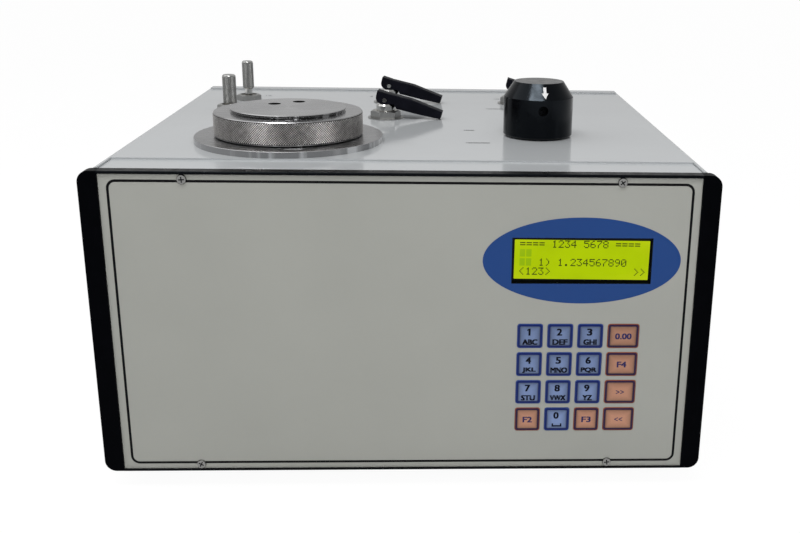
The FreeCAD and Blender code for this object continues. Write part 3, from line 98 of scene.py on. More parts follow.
DECK = levels("top_cover")[1]
PANEL_FACE = front("front_overlay")
PANEL_LOW, PANEL_HIGH = levels("front_overlay")
CHAMBER = middle("lid_ring")
KNOB = middle("selector_knob")


# ---------------------------------------------------------------- settings


def colour_setting(name, description, default):
    return FloatVectorProperty(name=name, description=description, default=default,
                               subtype="COLOR", size=3, min=0.0, max=1.0)


def length_setting(name, description, millimetres):
    return FloatProperty(name=name, description=description, default=millimetres * MM,
                         min=0.0, unit="LENGTH", precision=5)


def stage_setting(name, description, default, unit="NONE"):
    return FloatProperty(name=name, description=description, default=default, unit=unit)


class MeterColours(PropertyGroup):
    deck: colour_setting("Case", "Powder coat of the case", tone(187, 190, 192))
    film: colour_setting("Front film", "Ground of the front overlay", tone(168, 169, 163))
    line: colour_setting("Printed line", "Line round the front overlay", tone(6, 6, 9))
    oval: colour_setting("Oval", "Oval field round the display", tone(28, 67, 130))
    black: colour_setting("Frame black", "Pillars and rails", tone(3, 3, 5))
    backlight: colour_setting("Backlight", "Lit display", tone(178, 205, 0))
    dots: colour_setting("Display dots", "Dark dots of the display", tone(22, 36, 2))
    key_blue: colour_setting("Number keys", "Face of the number keys", tone(100, 117, 153))
    key_blue_edge: colour_setting("Number key border", "Printed border", tone(12, 31, 96))
    key_salmon: colour_setting("Function keys", "Face of the function keys", tone(178, 130, 106))
    key_purple: colour_setting("Function key border", "Printed border", tone(42, 24, 58))
    ink: colour_setting("Key ink", "Legends of the number keys", tone(6, 8, 22))
    ink_blue: colour_setting("Function ink", "Legends of the function keys", tone(48, 46, 92))
    steel: colour_setting("Stainless steel", "Chamber, lid and ring", tone(186, 186, 187))
    plating: colour_setting("Plating", "Nuts, bonnets, pins and screws", tone(206, 206, 204))
    moulding: colour_setting("Black mouldings", "Levers and selector knob", tone(8, 8, 12))


class MeterSizes(PropertyGroup):
    line_inset: length_setting("Line inset", "From the film's edge to the printed line", 4.1)
    line_width: length_setting("Line width", "Width of the printed line", 1.45)
    line_corner: length_setting("Line corner", "Outer corner radius of the line", 5)
    oval_half_width: length_setting("Oval half width", "Half of the oval's width", 55.9)
    oval_half_height: length_setting("Oval half height", "Half of the oval's height", 25.25)
    ring_knurl: length_setting("Ring knurl", "Pitch of the lid ring's diamonds", 1.45)
    knob_knurl: length_setting("Knob knurl", "Pitch of the needle knobs' diamonds", 0.7)
    knurl_depth: length_setting("Knurl depth", "Depth of the diamonds", 0.32)
    character_pitch: length_setting("Character pitch", "Display column spacing", 3.6)
    row_pitch: length_setting("Row pitch", "Display row spacing", 5.35)
    key_border: length_setting("Key border", "Width of the printed key border", 1.25)


class MeterStage(PropertyGroup):
    focal_length: stage_setting("Focal length", "Camera lens", 46.889, "CAMERA")
    camera_place: FloatVectorProperty(name="Camera place", description="Camera position",
                                      default=(0.01668, -0.72389, 0.31272), unit="LENGTH",
                                      size=3, precision=5)
    camera_yaw: stage_setting("Yaw", "Camera turned to the right", 0.0515, "ROTATION")
    camera_pitch: stage_setting("Pitch", "Camera tipped down", 0.306, "ROTATION")
    camera_roll: stage_setting("Roll", "Camera rolled", 0.0192, "ROTATION")
    shift_x: stage_setting("Shift", "Lens shift that frames the meter", -0.1076)
    top_light: stage_setting("Top light", "Power of the large top light", 4.0, "POWER")
    front_light: stage_setting("Front light", "Power of the front light", 2.7, "POWER")
    side_light: stage_setting("Side light", "Power of the narrow side light", 0.35, "POWER")
    lamp: stage_setting("Lamp", "Power of the small lamp overhead", 5.6, "POWER")
    ambient: stage_setting("Ambient", "Light from all round", 0.29)


# ---------------------------------------------------------------- procedural finishes


UP = (0.0, 0.0, 1.0)


class Shading:
    """A node tree, and short ways to add nodes to it."""

    def __init__(self, tree):
        self.nodes = tree.nodes
        self.links = tree.links

    def add(self, kind, **inputs):
        """Add a shader node of a kind; each named input gets a value or a link."""
        node = self.nodes.new("ShaderNode" + kind)
        for name, value in inputs.items():
            self.feed(node.inputs[name.replace("_", " ")], value)
        return node

    def feed(self, socket, value):
        if isinstance(value, bpy.types.NodeSocket):
            self.links.new(value, socket)
        else:
            socket.default_value = value

    def operate(self, kind, operation, *values):
        """Add a node that works on its first inputs in order."""
        node = self.add(kind)
        node.operation = operation
        for socket, value in zip(node.inputs, values):
            self.feed(socket, value)
        return node

    def math(self, operation, first, second=0.0):
        return self.operate("Math", operation, first, second).outputs[0]

    def vector(self, operation, first, second=(0.0, 0.0, 0.0), output="Vector"):
        return self.operate("VectorMath", operation, first, second).outputs[output]

    def upward(self, value):
        """A vector's share along Z."""
        return self.vector("DOT_PRODUCT", value, UP, "Value")

    def spread(self, factor, low, high, from_low=0.3, from_high=0.7):
        node = self.add("MapRange", Value=factor, From_Min=from_low,
                        From_Max=from_high, To_Min=low, To_Max=high)
        return node.outputs["Result"]

    def blend(self, factor, first, second):
        node = self.add("Mix")
        node.data_type = "RGBA"
        self.feed(node.inputs["Factor"], factor)
        for index, value in ((6, first), (7, second)):
            self.feed(node.inputs[index], opaque(value))
        return node.outputs[2]

    def show(self, factor, first, second, output):
        """Send a mix of two shaders to the tree's output node."""
        node = self.add("MixShader")
        for socket, value in zip(node.inputs, (factor, first.outputs[0], second.outputs[0])):
            self.feed(socket, value)
        self.feed(self.nodes[output].inputs["Surface"], node.outputs[0])


class Finish(Shading):
    """One material: a Principled surface and the nodes that vary its colour, gloss and relief."""

    def __init__(self, name, roughness, metallic=0.0, specular=0.5):
        self.material = bpy.data.materials.new(name)
        self.material.use_nodes = True
        super().__init__(self.material.node_tree)
        self.shader = self.nodes["Principled BSDF"]
        self.surface("Roughness", roughness)
        self.surface("Metallic", metallic)
        self.surface("Specular IOR Level", specular)
        coordinates = self.add("TexCoord")
        self.place = coordinates.outputs["Object"]
        self.facing = coordinates.outputs["Normal"]

    def surface(self, name, value):
        """Set or link one input of the surface."""
        self.feed(self.shader.inputs[name], value)

    def noise(self, grain, detail=3.0, stretch=(1, 1, 1), place=None):
        """Noise whose blobs are about one grain across, longer along a stretched axis."""
        scaled = self.vector("MULTIPLY", place or self.place, [1 / part for part in stretch])
        node = self.add("TexNoise", Vector=scaled, Scale=1 / grain, Detail=detail)
        return node.outputs["Fac"]

    def crown(self):
        """The height that a mesh keeps at its points, from 0 at the foot to 1 on top."""
        node = self.add("Attribute")
        node.attribute_name = "crown"
        return node.outputs["Fac"]

    def colour(self, value):
        self.surface("Base Color", opaque(value))

    def varied(self, base, factor, darker, paler):
        """A colour between a darker and a paler share of itself."""
        return self.blend(self.spread(factor, 0.0, 1.0), shade(base, darker), shade(base, paler))

    def mottle(self, base, factor, amount):
        """Vary a colour a little lighter and darker."""
        self.colour(self.varied(base, factor, 1 - amount, 1 + amount))

    def gloss(self, factor, low, high):
        self.surface("Roughness", self.spread(factor, low, high))

    def relief(self, height, depth, after=None):
        """Bump by a height in 0 to 1 times a depth in metres."""
        node = self.add("Bump", Height=height, Distance=depth, Strength=1.0)
        if after is not None:
            self.feed(node.inputs["Normal"], after)
        self.surface("Normal", node.outputs["Normal"])
        return node.outputs["Normal"]

    def wear(self, base, relief, mottle, gloss=None):
        """Relief, colour and gloss, each varied by noise of its own.

        Each starts with the noise's grain in millimetres and its detail. Then come the relief's
        depth in millimetres, the share that the colour varies by, and the lowest and highest
        roughness.
        """
        grain, detail, depth = relief
        self.relief(self.noise(grain * MM, detail), depth * MM)
        grain, detail, amount = mottle
        self.mottle(base, self.noise(grain * MM, detail), amount)
        if gloss:
            grain, detail, low, high = gloss
            self.gloss(self.noise(grain * MM, detail), low, high)
        return self.material


def opaque(value):
    """A colour with its alpha; a link stays as it is."""
    return value if isinstance(value, bpy.types.NodeSocket) else (*value, 1.0)


def shade(colour, factor):
    return tuple(min(1.0, part * factor) for part in colour)


def powder_coat(name, colour, roughness=0.1):
    """Glossy sprayed coat with slight orange peel and a few paler rubbed places."""
    return Finish(name, roughness).wear(colour, (1.6, 2, 0.003), (70, 3, 0.018),
                                        (24, 5, roughness - 0.03, roughness + 0.04))


def satin_black(name, colour, roughness=0.34, grain=0.35, specular=0.12):
    """Black moulding or anodising: fine grain, faint rubbed streaks and a cool sheen."""
    finish = Finish(name, roughness, specular=specular)
    finish.surface("Specular Tint", (0.72, 0.86, 1.0, 1.0))
    return finish.wear(colour, (grain, 2, 0.008), (9, 6, 0.25), (5, 5, roughness - 0.06, roughness + 0.1))


def ink(name, colour, roughness=0.4):
    """Screen-printed ink: slightly uneven cover."""
    return Finish(name, roughness, specular=0.1).wear(colour, (0.3, 2, 0.004), (0.5, 3, 0.12))


def plated(name, colour, roughness=0.14, wave=0.002):
    """Bright plating with soft polishing waves and small dull spots."""
    return Finish(name, roughness, 1.0).wear(colour, (1.6, 2, wave), (2.4, 3, 0.06),
                                             (3, 2, roughness - 0.03, roughness + 0.05))


def rubber(name, colour):
    return Finish(name, 0.75).wear(colour, (0.6, 4, 0.03), (4, 6, 0.3), (3, 4, 0.65, 0.88))


def cut_metal(name, colour, roughness=0.34):
    """Milled or rolled metal with a straight grain."""
    finish = Finish(name, roughness, 1.0)
    grain = finish.noise(0.5 * MM, 4.0, (1.0, 10.0, 1.0))
    finish.relief(grain, 0.006 * MM)
    finish.mottle(colour, finish.noise(12 * MM, 5.0), 0.06)
    finish.gloss(grain, roughness - 0.06, roughness + 0.1)
    return finish.material


def printed_film(name, colour, roughness=0.42, specular=0.2):
    """Fine textured polyester film with a trace of dust and handling marks."""
    finish = Finish(name, roughness, specular=specular)
    finish.relief(finish.noise(0.45 * MM, 1.0), 0.006 * MM)
    dust = finish.spread(finish.noise(2.2 * MM, 8.0), 0.0, 0.12, 0.66, 0.8)
    tint = finish.varied(colour, finish.noise(60 * MM), 0.975, 1.02)
    finish.colour(finish.blend(dust, tint, shade(colour, 0.7)))
    finish.gloss(finish.noise(14 * MM, 5.0), roughness - 0.05, roughness + 0.08)
    return finish.material


def turned_steel(name, colour, axis, roughness=0.28, groove=0.9, rim_reflection_tones=(1.02, 2.1),
                 reflection_streak_share=(0.54, 0.62)):
    """Lathe-turned steel: fine rings about an upright axis, and rims with painted reflections, streaked
    from top to foot.
    """
    finish = Finish(name, roughness, 1.0)
    from_axis = finish.vector("SUBTRACT", finish.place, (axis.x, axis.y, 0.0))
    flat = finish.vector("MULTIPLY", from_axis, (1.0, 1.0, 0.0))
    radius = finish.vector("LENGTH", flat, output="Value")
    fall = finish.math("MULTIPLY", finish.upward(finish.place), 0.7)
    rings = finish.add("TexNoise", Scale=1 / (groove * MM), Detail=3.0)
    rings.noise_dimensions = "1D"
    finish.feed(rings.inputs["W"], finish.math("ADD", radius, fall))
    scuffs = finish.noise(2.5 * MM, 2.0, (6.0, 1.0, 1.0))
    rim = finish.spread(finish.math("ABSOLUTE", finish.upward(finish.facing)), 1.0, 0.0, 0.2, 0.6)
    level_face = finish.math("SUBTRACT", 1.0, rim)
    groove_depth, scuff_depth = 0.0012 * MM, 0.0006 * MM
    grooves = finish.math("MULTIPLY", rings.outputs["Fac"], level_face)
    turned_face = finish.relief(grooves, groove_depth)
    finish.relief(finish.math("MULTIPLY", scuffs, level_face), scuff_depth, turned_face)
    # painted reflection: round the axis the rims turn darker or brighter in streaks, as if lamps were
    # mirrored in them
    reflection_streaks = finish.noise(0.19, 2.5, place=finish.vector("NORMALIZE", flat))
    face = finish.varied(colour, finish.noise(9 * MM), 0.95, 1.05)
    edge = finish.blend(finish.spread(reflection_streaks, 0.0, 1.0, *reflection_streak_share),
                        shade(colour, rim_reflection_tones[0]), shade(colour, rim_reflection_tones[1]))
    finish.colour(finish.blend(rim, face, edge))
    dull = finish.spread(scuffs, roughness - 0.04, roughness + 0.05)
    finish.surface("Roughness", finish.math("MULTIPLY", dull, finish.spread(rim, 1.0, 0.5, 0.0, 1.0)))
    finish.surface("Anisotropic", 0.55)
    tangent = finish.vector("CROSS_PRODUCT", UP, from_axis)
    finish.surface("Tangent", finish.vector("NORMALIZE", tangent))
    return finish.material


def knurled_metal(name, colour, roughness, groove=0.08):
    """Rolled diamonds: bright and glossy on their points, duller in the grooves, which painted shade
    darkens, unevenly.
    """
    finish = Finish(name, roughness, 1.0)
    crown = finish.crown()
    level = finish.math("ADD", finish.spread(crown, 0.0, 1.0, 0.1, 0.8),
                        finish.spread(finish.noise(3 * MM, 5.0), -0.12, 0.12))
    # painted shade: the grooves keep only the groove share of the colour
    finish.colour(finish.blend(level, shade(colour, groove), colour))
    finish.gloss(crown, roughness + 0.15, roughness - 0.05)
    return finish.material


def backlit(name, colour, centre):
    """Lit display: a slightly uneven glow, paler at its edges."""
    finish = Finish(name, 0.25, specular=0.05)
    from_centre = finish.vector("SUBTRACT", finish.place, centre)
    edge = finish.vector("ABSOLUTE", finish.vector("MULTIPLY", from_centre, (1.0, 0.0, 3.3)))
    reach = finish.vector("LENGTH", edge, output="Value")
    lit = finish.varied(colour, finish.noise(18 * MM, 2.0), 0.95, 1.06)
    lit = finish.blend(finish.spread(reach, 0.0, 0.35, 34 * MM, 52 * MM), lit, tone(215, 225, 30))
    finish.colour(shade(colour, 0.12))
    finish.surface("Emission Color", lit)
    finish.surface("Emission Strength", 0.82)
    finish.relief(finish.noise(0.4 * MM, 1.0), 0.002 * MM)
    return finish.material


def key_film(name, colour, painted_foot_shade, rows, roughness=0.34):
    """Printed film over embossed keys: painted shade darkens a pillow's foot, a painted highlight
    brightens its crown, and painted light makes the lower rows paler.
    """
    finish = Finish(name, roughness, specular=0.25)
    finish.relief(finish.noise(0.45 * MM, 1.0), 0.006 * MM)
    level = finish.math("ADD", finish.crown(), finish.spread(finish.noise(1.4 * MM, 4.0), -0.05, 0.05))
    # painted shade at the pillow's foot and a painted highlight on its crown
    face = finish.blend(level, shade(colour, painted_foot_shade), shade(colour, 1.3))
    # painted light: the lower rows are paler than the top row
    row_light = finish.operate("VectorMath", "SCALE", face)
    finish.feed(row_light.inputs["Scale"], finish.spread(finish.upward(finish.place), 1.3, 1.0, *rows))
    finish.colour(row_light.outputs["Vector"])
    finish.gloss(finish.noise(4 * MM, 4.0), roughness - 0.05, roughness + 0.08)
    return finish.material


def dress(material, *nodes):
    """Give the own surfaces of CAD nodes a finish."""
    for node in nodes:
        mesh = frame["nodes"][node].data
        mesh.materials.clear()
        mesh.materials.append(material)


# ---------------------------------------------------------------- mesh helpers


SQUARE = ((-1, -1), (1, -1), (1, 1), (-1, 1))


def shown(name, data):
    """An object for a mesh, a curve, a light or a camera, put into the scene."""
    thing = bpy.data.objects.new(name, data)
    bpy.context.scene.collection.objects.link(thing)
    return thing


def add_piece(name, mesh, materials, body, smooth=False):
    """Put a mesh into the scene, riding on a CAD body."""
    mesh.name = name
    for material in materials:
        mesh.materials.append(material)
    if smooth:
        mesh.polygons.foreach_set("use_smooth", [True] * len(mesh.polygons))
    thing = shown(name, mesh)
    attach(thing, body)
    return thing


def from_lists(points, faces, indices=None):
    mesh = bpy.data.meshes.new("piece")
    mesh.from_pydata([tuple(point) for point in points], [], faces)
    if indices:
        mesh.polygons.foreach_set("material_index", indices)
    mesh.update()
    return mesh


def finished(work):
    """The mesh that a bmesh has become."""
    mesh = bpy.data.meshes.new("piece")
    work.to_mesh(mesh)
    work.free()
    return mesh


def joined(meshes):
    """One mesh out of several."""
    work = bmesh.new()
    for mesh in meshes:
        work.from_mesh(mesh)
        bpy.data.meshes.remove(mesh)
    return finished(work)


def crowned(mesh, crowns):
    """Keep each point's height, from 0 to 1, for the finishes that paint shade into the low places."""
    mesh.attributes.new("crown", "FLOAT", "POINT").data.foreach_set("value", crowns)
    return mesh


def ellipse(half_width, half_height, steps):
    """Points round an ellipse, anticlockwise."""
    return [(half_width * math.cos(math.tau * step / steps),
             half_height * math.sin(math.tau * step / steps)) for step in range(steps)]


def rounded_box(x, z, width, height, corner, steps=6):
    """Points of a rounded rectangle in the X-Z plane, anticlockwise seen from the front."""
    points = []
    for (side, end), start in zip(SQUARE[1:] + SQUARE[:1], (-90, 0, 90, 180)):
        centre_x = x + side * (width / 2 - corner)
        centre_z = z + end * (height / 2 - corner)
        for step in range(steps + 1):
            angle = math.radians(start + 90 * step / steps)
            points.append((centre_x + corner * math.cos(angle), centre_z + corner * math.sin(angle)))
    return points


def filled(loops, y):
    """A flat mesh facing -Y that fills the outer loop of (x, z) points and leaves the rest open."""
    work = bmesh.new()
    edges = []
    for loop in loops:
        corners = [work.verts.new((x, y, z)) for x, z in loop]
        edges += [work.edges.new(pair) for pair in zip(corners, corners[1:] + corners[:1])]
    bmesh.ops.triangle_fill(work, use_beauty=True, edges=edges)
    for face in work.faces:
        if face.normal.y > 0:
            face.normal_flip()
    return finished(work)


def bands(rows, count):
    """Each four-cornered face between stacked rings of points: its row, its step, its corners."""
    for row in range(rows):
        for step in range(count):
            after = (step + 1) % count
            yield row, step, (row * count + step, row * count + after,
                              (row + 1) * count + after, (row + 1) * count + step)


def lofted(loops, closed_end=False, materials=None):
    """Skin a stack of equal loops of 3-D points; the last may be closed by one face."""
    count = len(loops[0])
    points = [point for loop in loops for point in loop]
    faces, indices = [], []
    for level, _, corners in bands(len(loops) - 1, count):
        faces.append(corners)
        indices.append(materials[level] if materials else 0)
    if closed_end:
        faces.append(tuple(range(len(points) - count, len(points))))
        indices.append(materials[-1] if materials else 0)
    return from_lists(points, faces, indices)


def turned(outline, axis, steps):
    """Revolve (radius, height) points about an upright axis."""
    return lofted([[(axis.x + x, axis.y + y, height) for x, y in ellipse(radius, radius, steps)]
                   for radius, height in outline])


def knurled(radius, low, high, axis, pitch, depth):
    """A band of diamond pyramids round an upright axis, from one level to another."""
    columns = 2 * round(math.tau * radius / pitch)
    rows = 2 * max(1, round((high - low) / pitch))
    points, crowns, faces = [], [], []
    for row in range(rows + 1):
        height = low + (high - low) * row / rows
        for column in range(columns):
            peak = (row + column) % 2 == 0 and 0 < row < rows
            reach = radius if peak else radius - depth
            angle = math.tau * column / columns
            points.append((axis.x + reach * math.cos(angle), axis.y + reach * math.sin(angle), height))
            crowns.append(float(peak))
    for row, column, (a, b, c, d) in bands(rows, columns):
        faces += [(a, b, d), (b, c, d)] if (row + column) % 2 == 0 else [(a, b, c), (a, c, d)]
    return crowned(from_lists(points, faces), crowns)


def lettering(name, text, width, height, weight, place, material, body, slot, upright=True):
    """Flat lettering of a given width and height about a place, on the front or the deck.

    Its strokes grow by the weight, through copies that are shifted to both sides.
    """
    curve = bpy.data.curves.new(name + "_text", "FONT")
    curve.body = text
    curve.resolution_u = 3
    holder = shown(name + "_text", curve)
    bpy.context.view_layer.update()
    graph = bpy.context.evaluated_depsgraph_get()
    mesh = bpy.data.meshes.new_from_object(holder.evaluated_get(graph))
    bpy.data.objects.remove(holder)
    low = Vector([min(vertex.co[axis] for vertex in mesh.vertices) for axis in range(3)])
    high = Vector([max(vertex.co[axis] for vertex in mesh.vertices) for axis in range(3)])
    mesh.transform(Matrix.Translation(-(low + high) / 2))
    mesh.transform(Matrix.Diagonal(((width - weight) / (high.x - low.x),
                                    (height - weight / 2) / (high.y - low.y), 1, 1)))
    copies = []
    for layer, (x, y) in enumerate(sorted(SQUARE)):
        copy = mesh.copy()
        shift = (x * weight / 2, y * weight / 4, layer * PRINT / 8)
        copy.transform(Matrix.Translation(shift))
        copies.append(copy)
    mesh = joined(copies)
    if upright:
        mesh.transform(Matrix.Rotation(math.radians(90), 4, "X"))
    mesh.transform(Matrix.Translation(place))
    return add_piece(name, mesh, [material], body)


def pivot(body):
    """Where the joint that carries a body stands."""
    joint = next(joint for joint in frame["joints"] if joint["child"] == body)
    return Vector(joint["pos_m"])


# ---------------------------------------------------------------- pieces


SCREW_SIDE = 119.6 * MM
SCREW_INSET = 2.9 * MM
SCREW_HEAD = 1.0 * MM
RECESS_REACH = 1.6 * MM
RECESS_HALF = 0.33 * MM
# radians for each metre across and up, so that each screw stops at a turn of its own
SCREW_TURN = Vector((9, 40))


class METER_OT_case(Operator):
    """Powder-coated sheets, black front frame, rubber feet and screws"""
    bl_idname = "meter.case"
    bl_label = "Case"

    def execute(self, context):
        colours = context.scene.meter_colours
        dress(powder_coat("case powder coat", colours.deck), "top_cover", "top_front_strip")
        dress(powder_coat("rear powder coat", shade(colours.deck, 0.93), 0.24), "rear_panel")
        dress(satin_black("anodised black", colours.black, 0.3, 0.5, 0.02), "front_pillars")
        dress(satin_black("rail black", colours.black, 0.3, 0.5, 0.08), "front_rail_top",
              "front_rail_bottom")
        dress(cut_metal("zinc plated tray", tone(170, 172, 172)), "base_tray")
        dress(cut_metal("panel aluminium", tone(150, 150, 148), 0.4), "front_panel")
        dress(rubber("foot rubber", tone(22, 22, 22)), "feet")
        dress(plated("screw plating", shade(colours.plating, 0.42), 0.16), "case_screws")
        self.add_recess_shade()
        return {"FINISHED"}

    def add_recess_shade(self):
        """Painted shade of the cross recesses: flat dark crosses on the four screws of the front panel.
        """
        face = PANEL_FACE - SCREW_HEAD - PRINT
        arm = ((RECESS_HALF, RECESS_HALF), (RECESS_REACH, RECESS_HALF), (RECESS_REACH, -RECESS_HALF))
        meshes = []
        for x in (-SCREW_SIDE, SCREW_SIDE):
            for z in (PANEL_LOW + SCREW_INSET, PANEL_HIGH - SCREW_INSET):
                centre, cross = Vector((x, z)), []
                for quarter in range(4):
                    turn = Matrix.Rotation(SCREW_TURN.dot(centre) - quarter * math.pi / 2, 2)
                    cross += [centre + turn @ Vector(corner) for corner in arm]
                meshes.append(filled([cross], face))
        add_piece("screw_recesses", joined(meshes), [satin_black("recess shadow", tone(14, 14, 14))],
                  "case")


WINDOW_WIDTH = 79.2 * MM
WINDOW_HEIGHT = 26.9 * MM
WINDOW_CORNER = 0.3 * MM
WINDOW_SHIFT = -0.3 * MM
DISPLAY = middle("display_module") + Vector((WINDOW_SHIFT, 0, 0))
OVAL_RISE = 0.05 * MM
LINE_MARGIN = 3.1 * MM


class METER_OT_front(Operator):
    """Front film with its printed line and oval"""
    bl_idname = "meter.front"
    bl_label = "Front film"

    def execute(self, context):
        colours, sizes = context.scene.meter_colours, context.scene.meter_sizes
        dress(printed_film("front film", colours.film), "front_overlay")
        self.add_line(colours, sizes)
        self.add_oval(colours, sizes)
        return {"FINISHED"}

    def add_line(self, colours, sizes):
        """The rounded line printed round the film."""
        centre, film = middle("front_overlay"), span("front_overlay")
        width, height = film.x - 2 * sizes.line_inset, film.z - 2 * LINE_MARGIN
        inner = 2 * sizes.line_width
        line = filled([rounded_box(centre.x, centre.z, width, height, sizes.line_corner),
                       rounded_box(centre.x, centre.z, width - inner, height - inner,
                                   sizes.line_corner - sizes.line_width)], PANEL_FACE - PRINT)
        add_piece("printed_line", line, [ink("line ink", colours.line)], "case")

    def add_oval(self, colours, sizes):
        """The blue oval, open where the display's window is."""
        oval = [(DISPLAY.x + x, DISPLAY.z + OVAL_RISE + z)
                for x, z in ellipse(sizes.oval_half_width, sizes.oval_half_height, 128)]
        window = rounded_box(DISPLAY.x, DISPLAY.z, WINDOW_WIDTH, WINDOW_HEIGHT, WINDOW_CORNER)
        add_piece("oval_print", filled([oval, window], PANEL_FACE - PRINT),
                  [printed_film("oval film", colours.oval, 0.36)], "case")


LIT_WIDTH = 76.4 * MM
LIT_HEIGHT = 23.0 * MM
LIT_CORNER = 0.4 * MM
LIT_SHIFT = Vector((0.2, 0, -0.2)) * MM
LIT = DISPLAY + LIT_SHIFT
LIT_FACE = front("display_module")
LIT_TURN = math.radians(0.45)
TEXT_LEFT = LIT.x - LIT_WIDTH / 2 + 3.0 * MM
TEXT_TOP = LIT.z + LIT_HEIGHT / 2 - 0.2 * MM
DOT_GAP = 0.015 * MM
LINING = 0.25 * MM
# the five by seven dots of each character, row by row
DOT_ROWS = {
    "0": ".###. #...# #..## #.#.# ##..# #...# .###.",
    "1": "..#.. .##.. ..#.. ..#.. ..#.. ..#.. .###.",
    "2": ".###. #...# ....# ...#. ..#.. .#... #####",
    "3": "##### ...#. ..#.. ...#. ....# #...# .###.",
    "4": "...#. ..##. .#.#. #..#. ##### ...#. ...#.",
    "5": "##### #.... ####. ....# ....# #...# .###.",
    "6": "..##. .#... #.... ####. #...# #...# .###.",
    "7": "##### ....# ...#. ..#.. .#... .#... .#...",
    "8": ".###. #...# #...# .###. #...# #...# .###.",
    "9": ".###. #...# #...# .#### ....# ...#. .##..",
    "=": "..... ..... ##### ..... ##### ..... .....",
    ")": ".#... ..#.. ...#. ...#. ...#. ..#.. .#...",
    "<": "...#. ..#.. .#... #.... .#... ..#.. ...#.",
    ">": ".#... ..#.. ...#. ....# ...#. ..#.. .#...",
    ".": "..... ..... ..... ..... ..... .##.. .##..",
}
DISPLAY_ROWS = ("==== 1234 5678 ====", "", "   1) 1.234567890", "<123>             >>")
FAINT_CELLS = ((1, 0), (1, 1), (2, 0), (2, 1))


class METER_OT_display(Operator):
    """Lit display with its dots, black bezel and window lining"""
    bl_idname = "meter.display"
    bl_label = "Display"

    def execute(self, context):
        colours, sizes = context.scene.meter_colours, context.scene.meter_sizes
        bezel = satin_black("display bezel", tone(7, 9, 6), 0.18, 0.6)
        dress(bezel, "display_module")
        glass = rounded_box(LIT.x, LIT.z, LIT_WIDTH, LIT_HEIGHT, LIT_CORNER)
        self.add_turned("display_glass", filled([glass], LIT_FACE - PRINT),
                        backlit("backlight", colours.backlight, LIT))
        self.add_dots(colours, sizes)
        self.add_faint_cells(sizes)
        self.add_lining(bezel)
        return {"FINISHED"}

    def add_turned(self, name, mesh, material):
        """Add a piece of the glass, which sits a little askew behind its window."""
        centre = Matrix.Translation(LIT)
        mesh.transform(centre @ Matrix.Rotation(LIT_TURN, 4, "Y") @ centre.inverted())
        add_piece(name, mesh, [material], "case")

    def dot_steps(self, sizes):
        """Spacing of the dots: five and a space to a column, seven and a gap to a row."""
        return sizes.character_pitch / 6, sizes.row_pitch / 8.6

    def add_dots(self, colours, sizes):
        """Five by seven dots for each character of the four rows."""
        across, down = self.dot_steps(sizes)
        points, faces = [], []
        for row, text in enumerate(DISPLAY_ROWS):
            for column, character in enumerate(text):
                for line, dots in enumerate(DOT_ROWS.get(character, "").split()):
                    for place, dot in enumerate(dots):
                        if dot != "#":
                            continue
                        x = TEXT_LEFT + column * sizes.character_pitch + (place + 0.5) * across
                        z = TEXT_TOP - row * sizes.row_pitch - (line + 0.5) * down
                        start = len(points)
                        points += [(x + side * (across / 2 - DOT_GAP), LIT_FACE - 3 * PRINT,
                                    z + end * (down / 2 - DOT_GAP)) for side, end in SQUARE]
                        faces.append(range(start, start + 4))
        self.add_turned("display_dots", from_lists(points, faces), ink("display dots", colours.dots, 0.3))

    def add_faint_cells(self, sizes):
        """Character cells that show faintly where nothing is written."""
        across, down = self.dot_steps(sizes)
        cells = []
        for row, column in FAINT_CELLS:
            x = TEXT_LEFT + column * sizes.character_pitch + 2.5 * across
            z = TEXT_TOP - row * sizes.row_pitch - 3.5 * down
            cells.append(filled([rounded_box(x, z, 5 * across, 7 * down, 0.1 * MM)],
                                LIT_FACE - 2 * PRINT))
        self.add_turned("display_faint_cells", joined(cells),
                        backlit("faint cells", tone(150, 186, 12), LIT))

    def add_lining(self, black):
        """Black lining of the window's four walls."""
        outer, inner = [rounded_box(DISPLAY.x, DISPLAY.z, WINDOW_WIDTH - 2 * sheet,
                                    WINDOW_HEIGHT - 2 * sheet, WINDOW_CORNER)
                        for sheet in (0, LINING)]
        near, far = PANEL_FACE - PRINT, LIT_FACE - PRINT
        loops = [[(x, y, z) for x, z in loop]
                 for loop, y in ((outer, far), (outer, near), (inner, near), (inner, far))]
        add_piece("window_lining", lofted(loops), [black], "case")


# each key's digit, its letters, and how wide the letters are in millimetres
KEY_LEGENDS = {
    "key_1": ("1", "ABC", 8.8), "key_2": ("2", "DEF", 8.8), "key_3": ("3", "GHI", 7.9),
    "key_4": ("4", "JKL", 8.0), "key_5": ("5", "MNO", 9.9), "key_6": ("6", "PQR", 9.3),
    "key_7": ("7", "STU", 8.3), "key_8": ("8", "VWX", 9.4), "key_9": ("9", "YZ", 5.7),
    "key_0": ("0", "", 5.8), "key_zero": ("", "0.00", 9.6), "key_skip": ("", "F4", 5.6),
    "key_next": ("", ">>", 4.8), "key_escape": ("", "F2", 5.6), "key_enter": ("", "F3", 5.6),
    "key_back": ("", "<<", 4.8),
}
DIGIT_ONE = ((0.17, -0.5), (0.17, 0.5), (-0.03, 0.5), (-0.27, 0.34), (-0.27, 0.14),
             (-0.1, 0.24), (-0.1, -0.5))
KEY_RIM = 0.7 * MM
RIM_PRINT = 0.35 * MM
KEY_CORNER = 1.5 * MM
PILLOW_CORNER = 0.6 * MM
DIGIT_SHIFT = Vector((-0.5, 0, 2.6)) * MM
LETTER_SHIFT = Vector((0, 0, -3.5)) * MM
DIGIT_WIDTH = 3.2 * MM
# height and stroke weight of each kind of legend
DIGIT = (4.3 * MM, 0.52 * MM)
LETTERS = (3.4 * MM, 0.56 * MM)
WORD = (3.7 * MM, 0.42 * MM)
ARROWS = (2.5 * MM, 0.1 * MM)
SPACE_LINE = 0.85 * MM


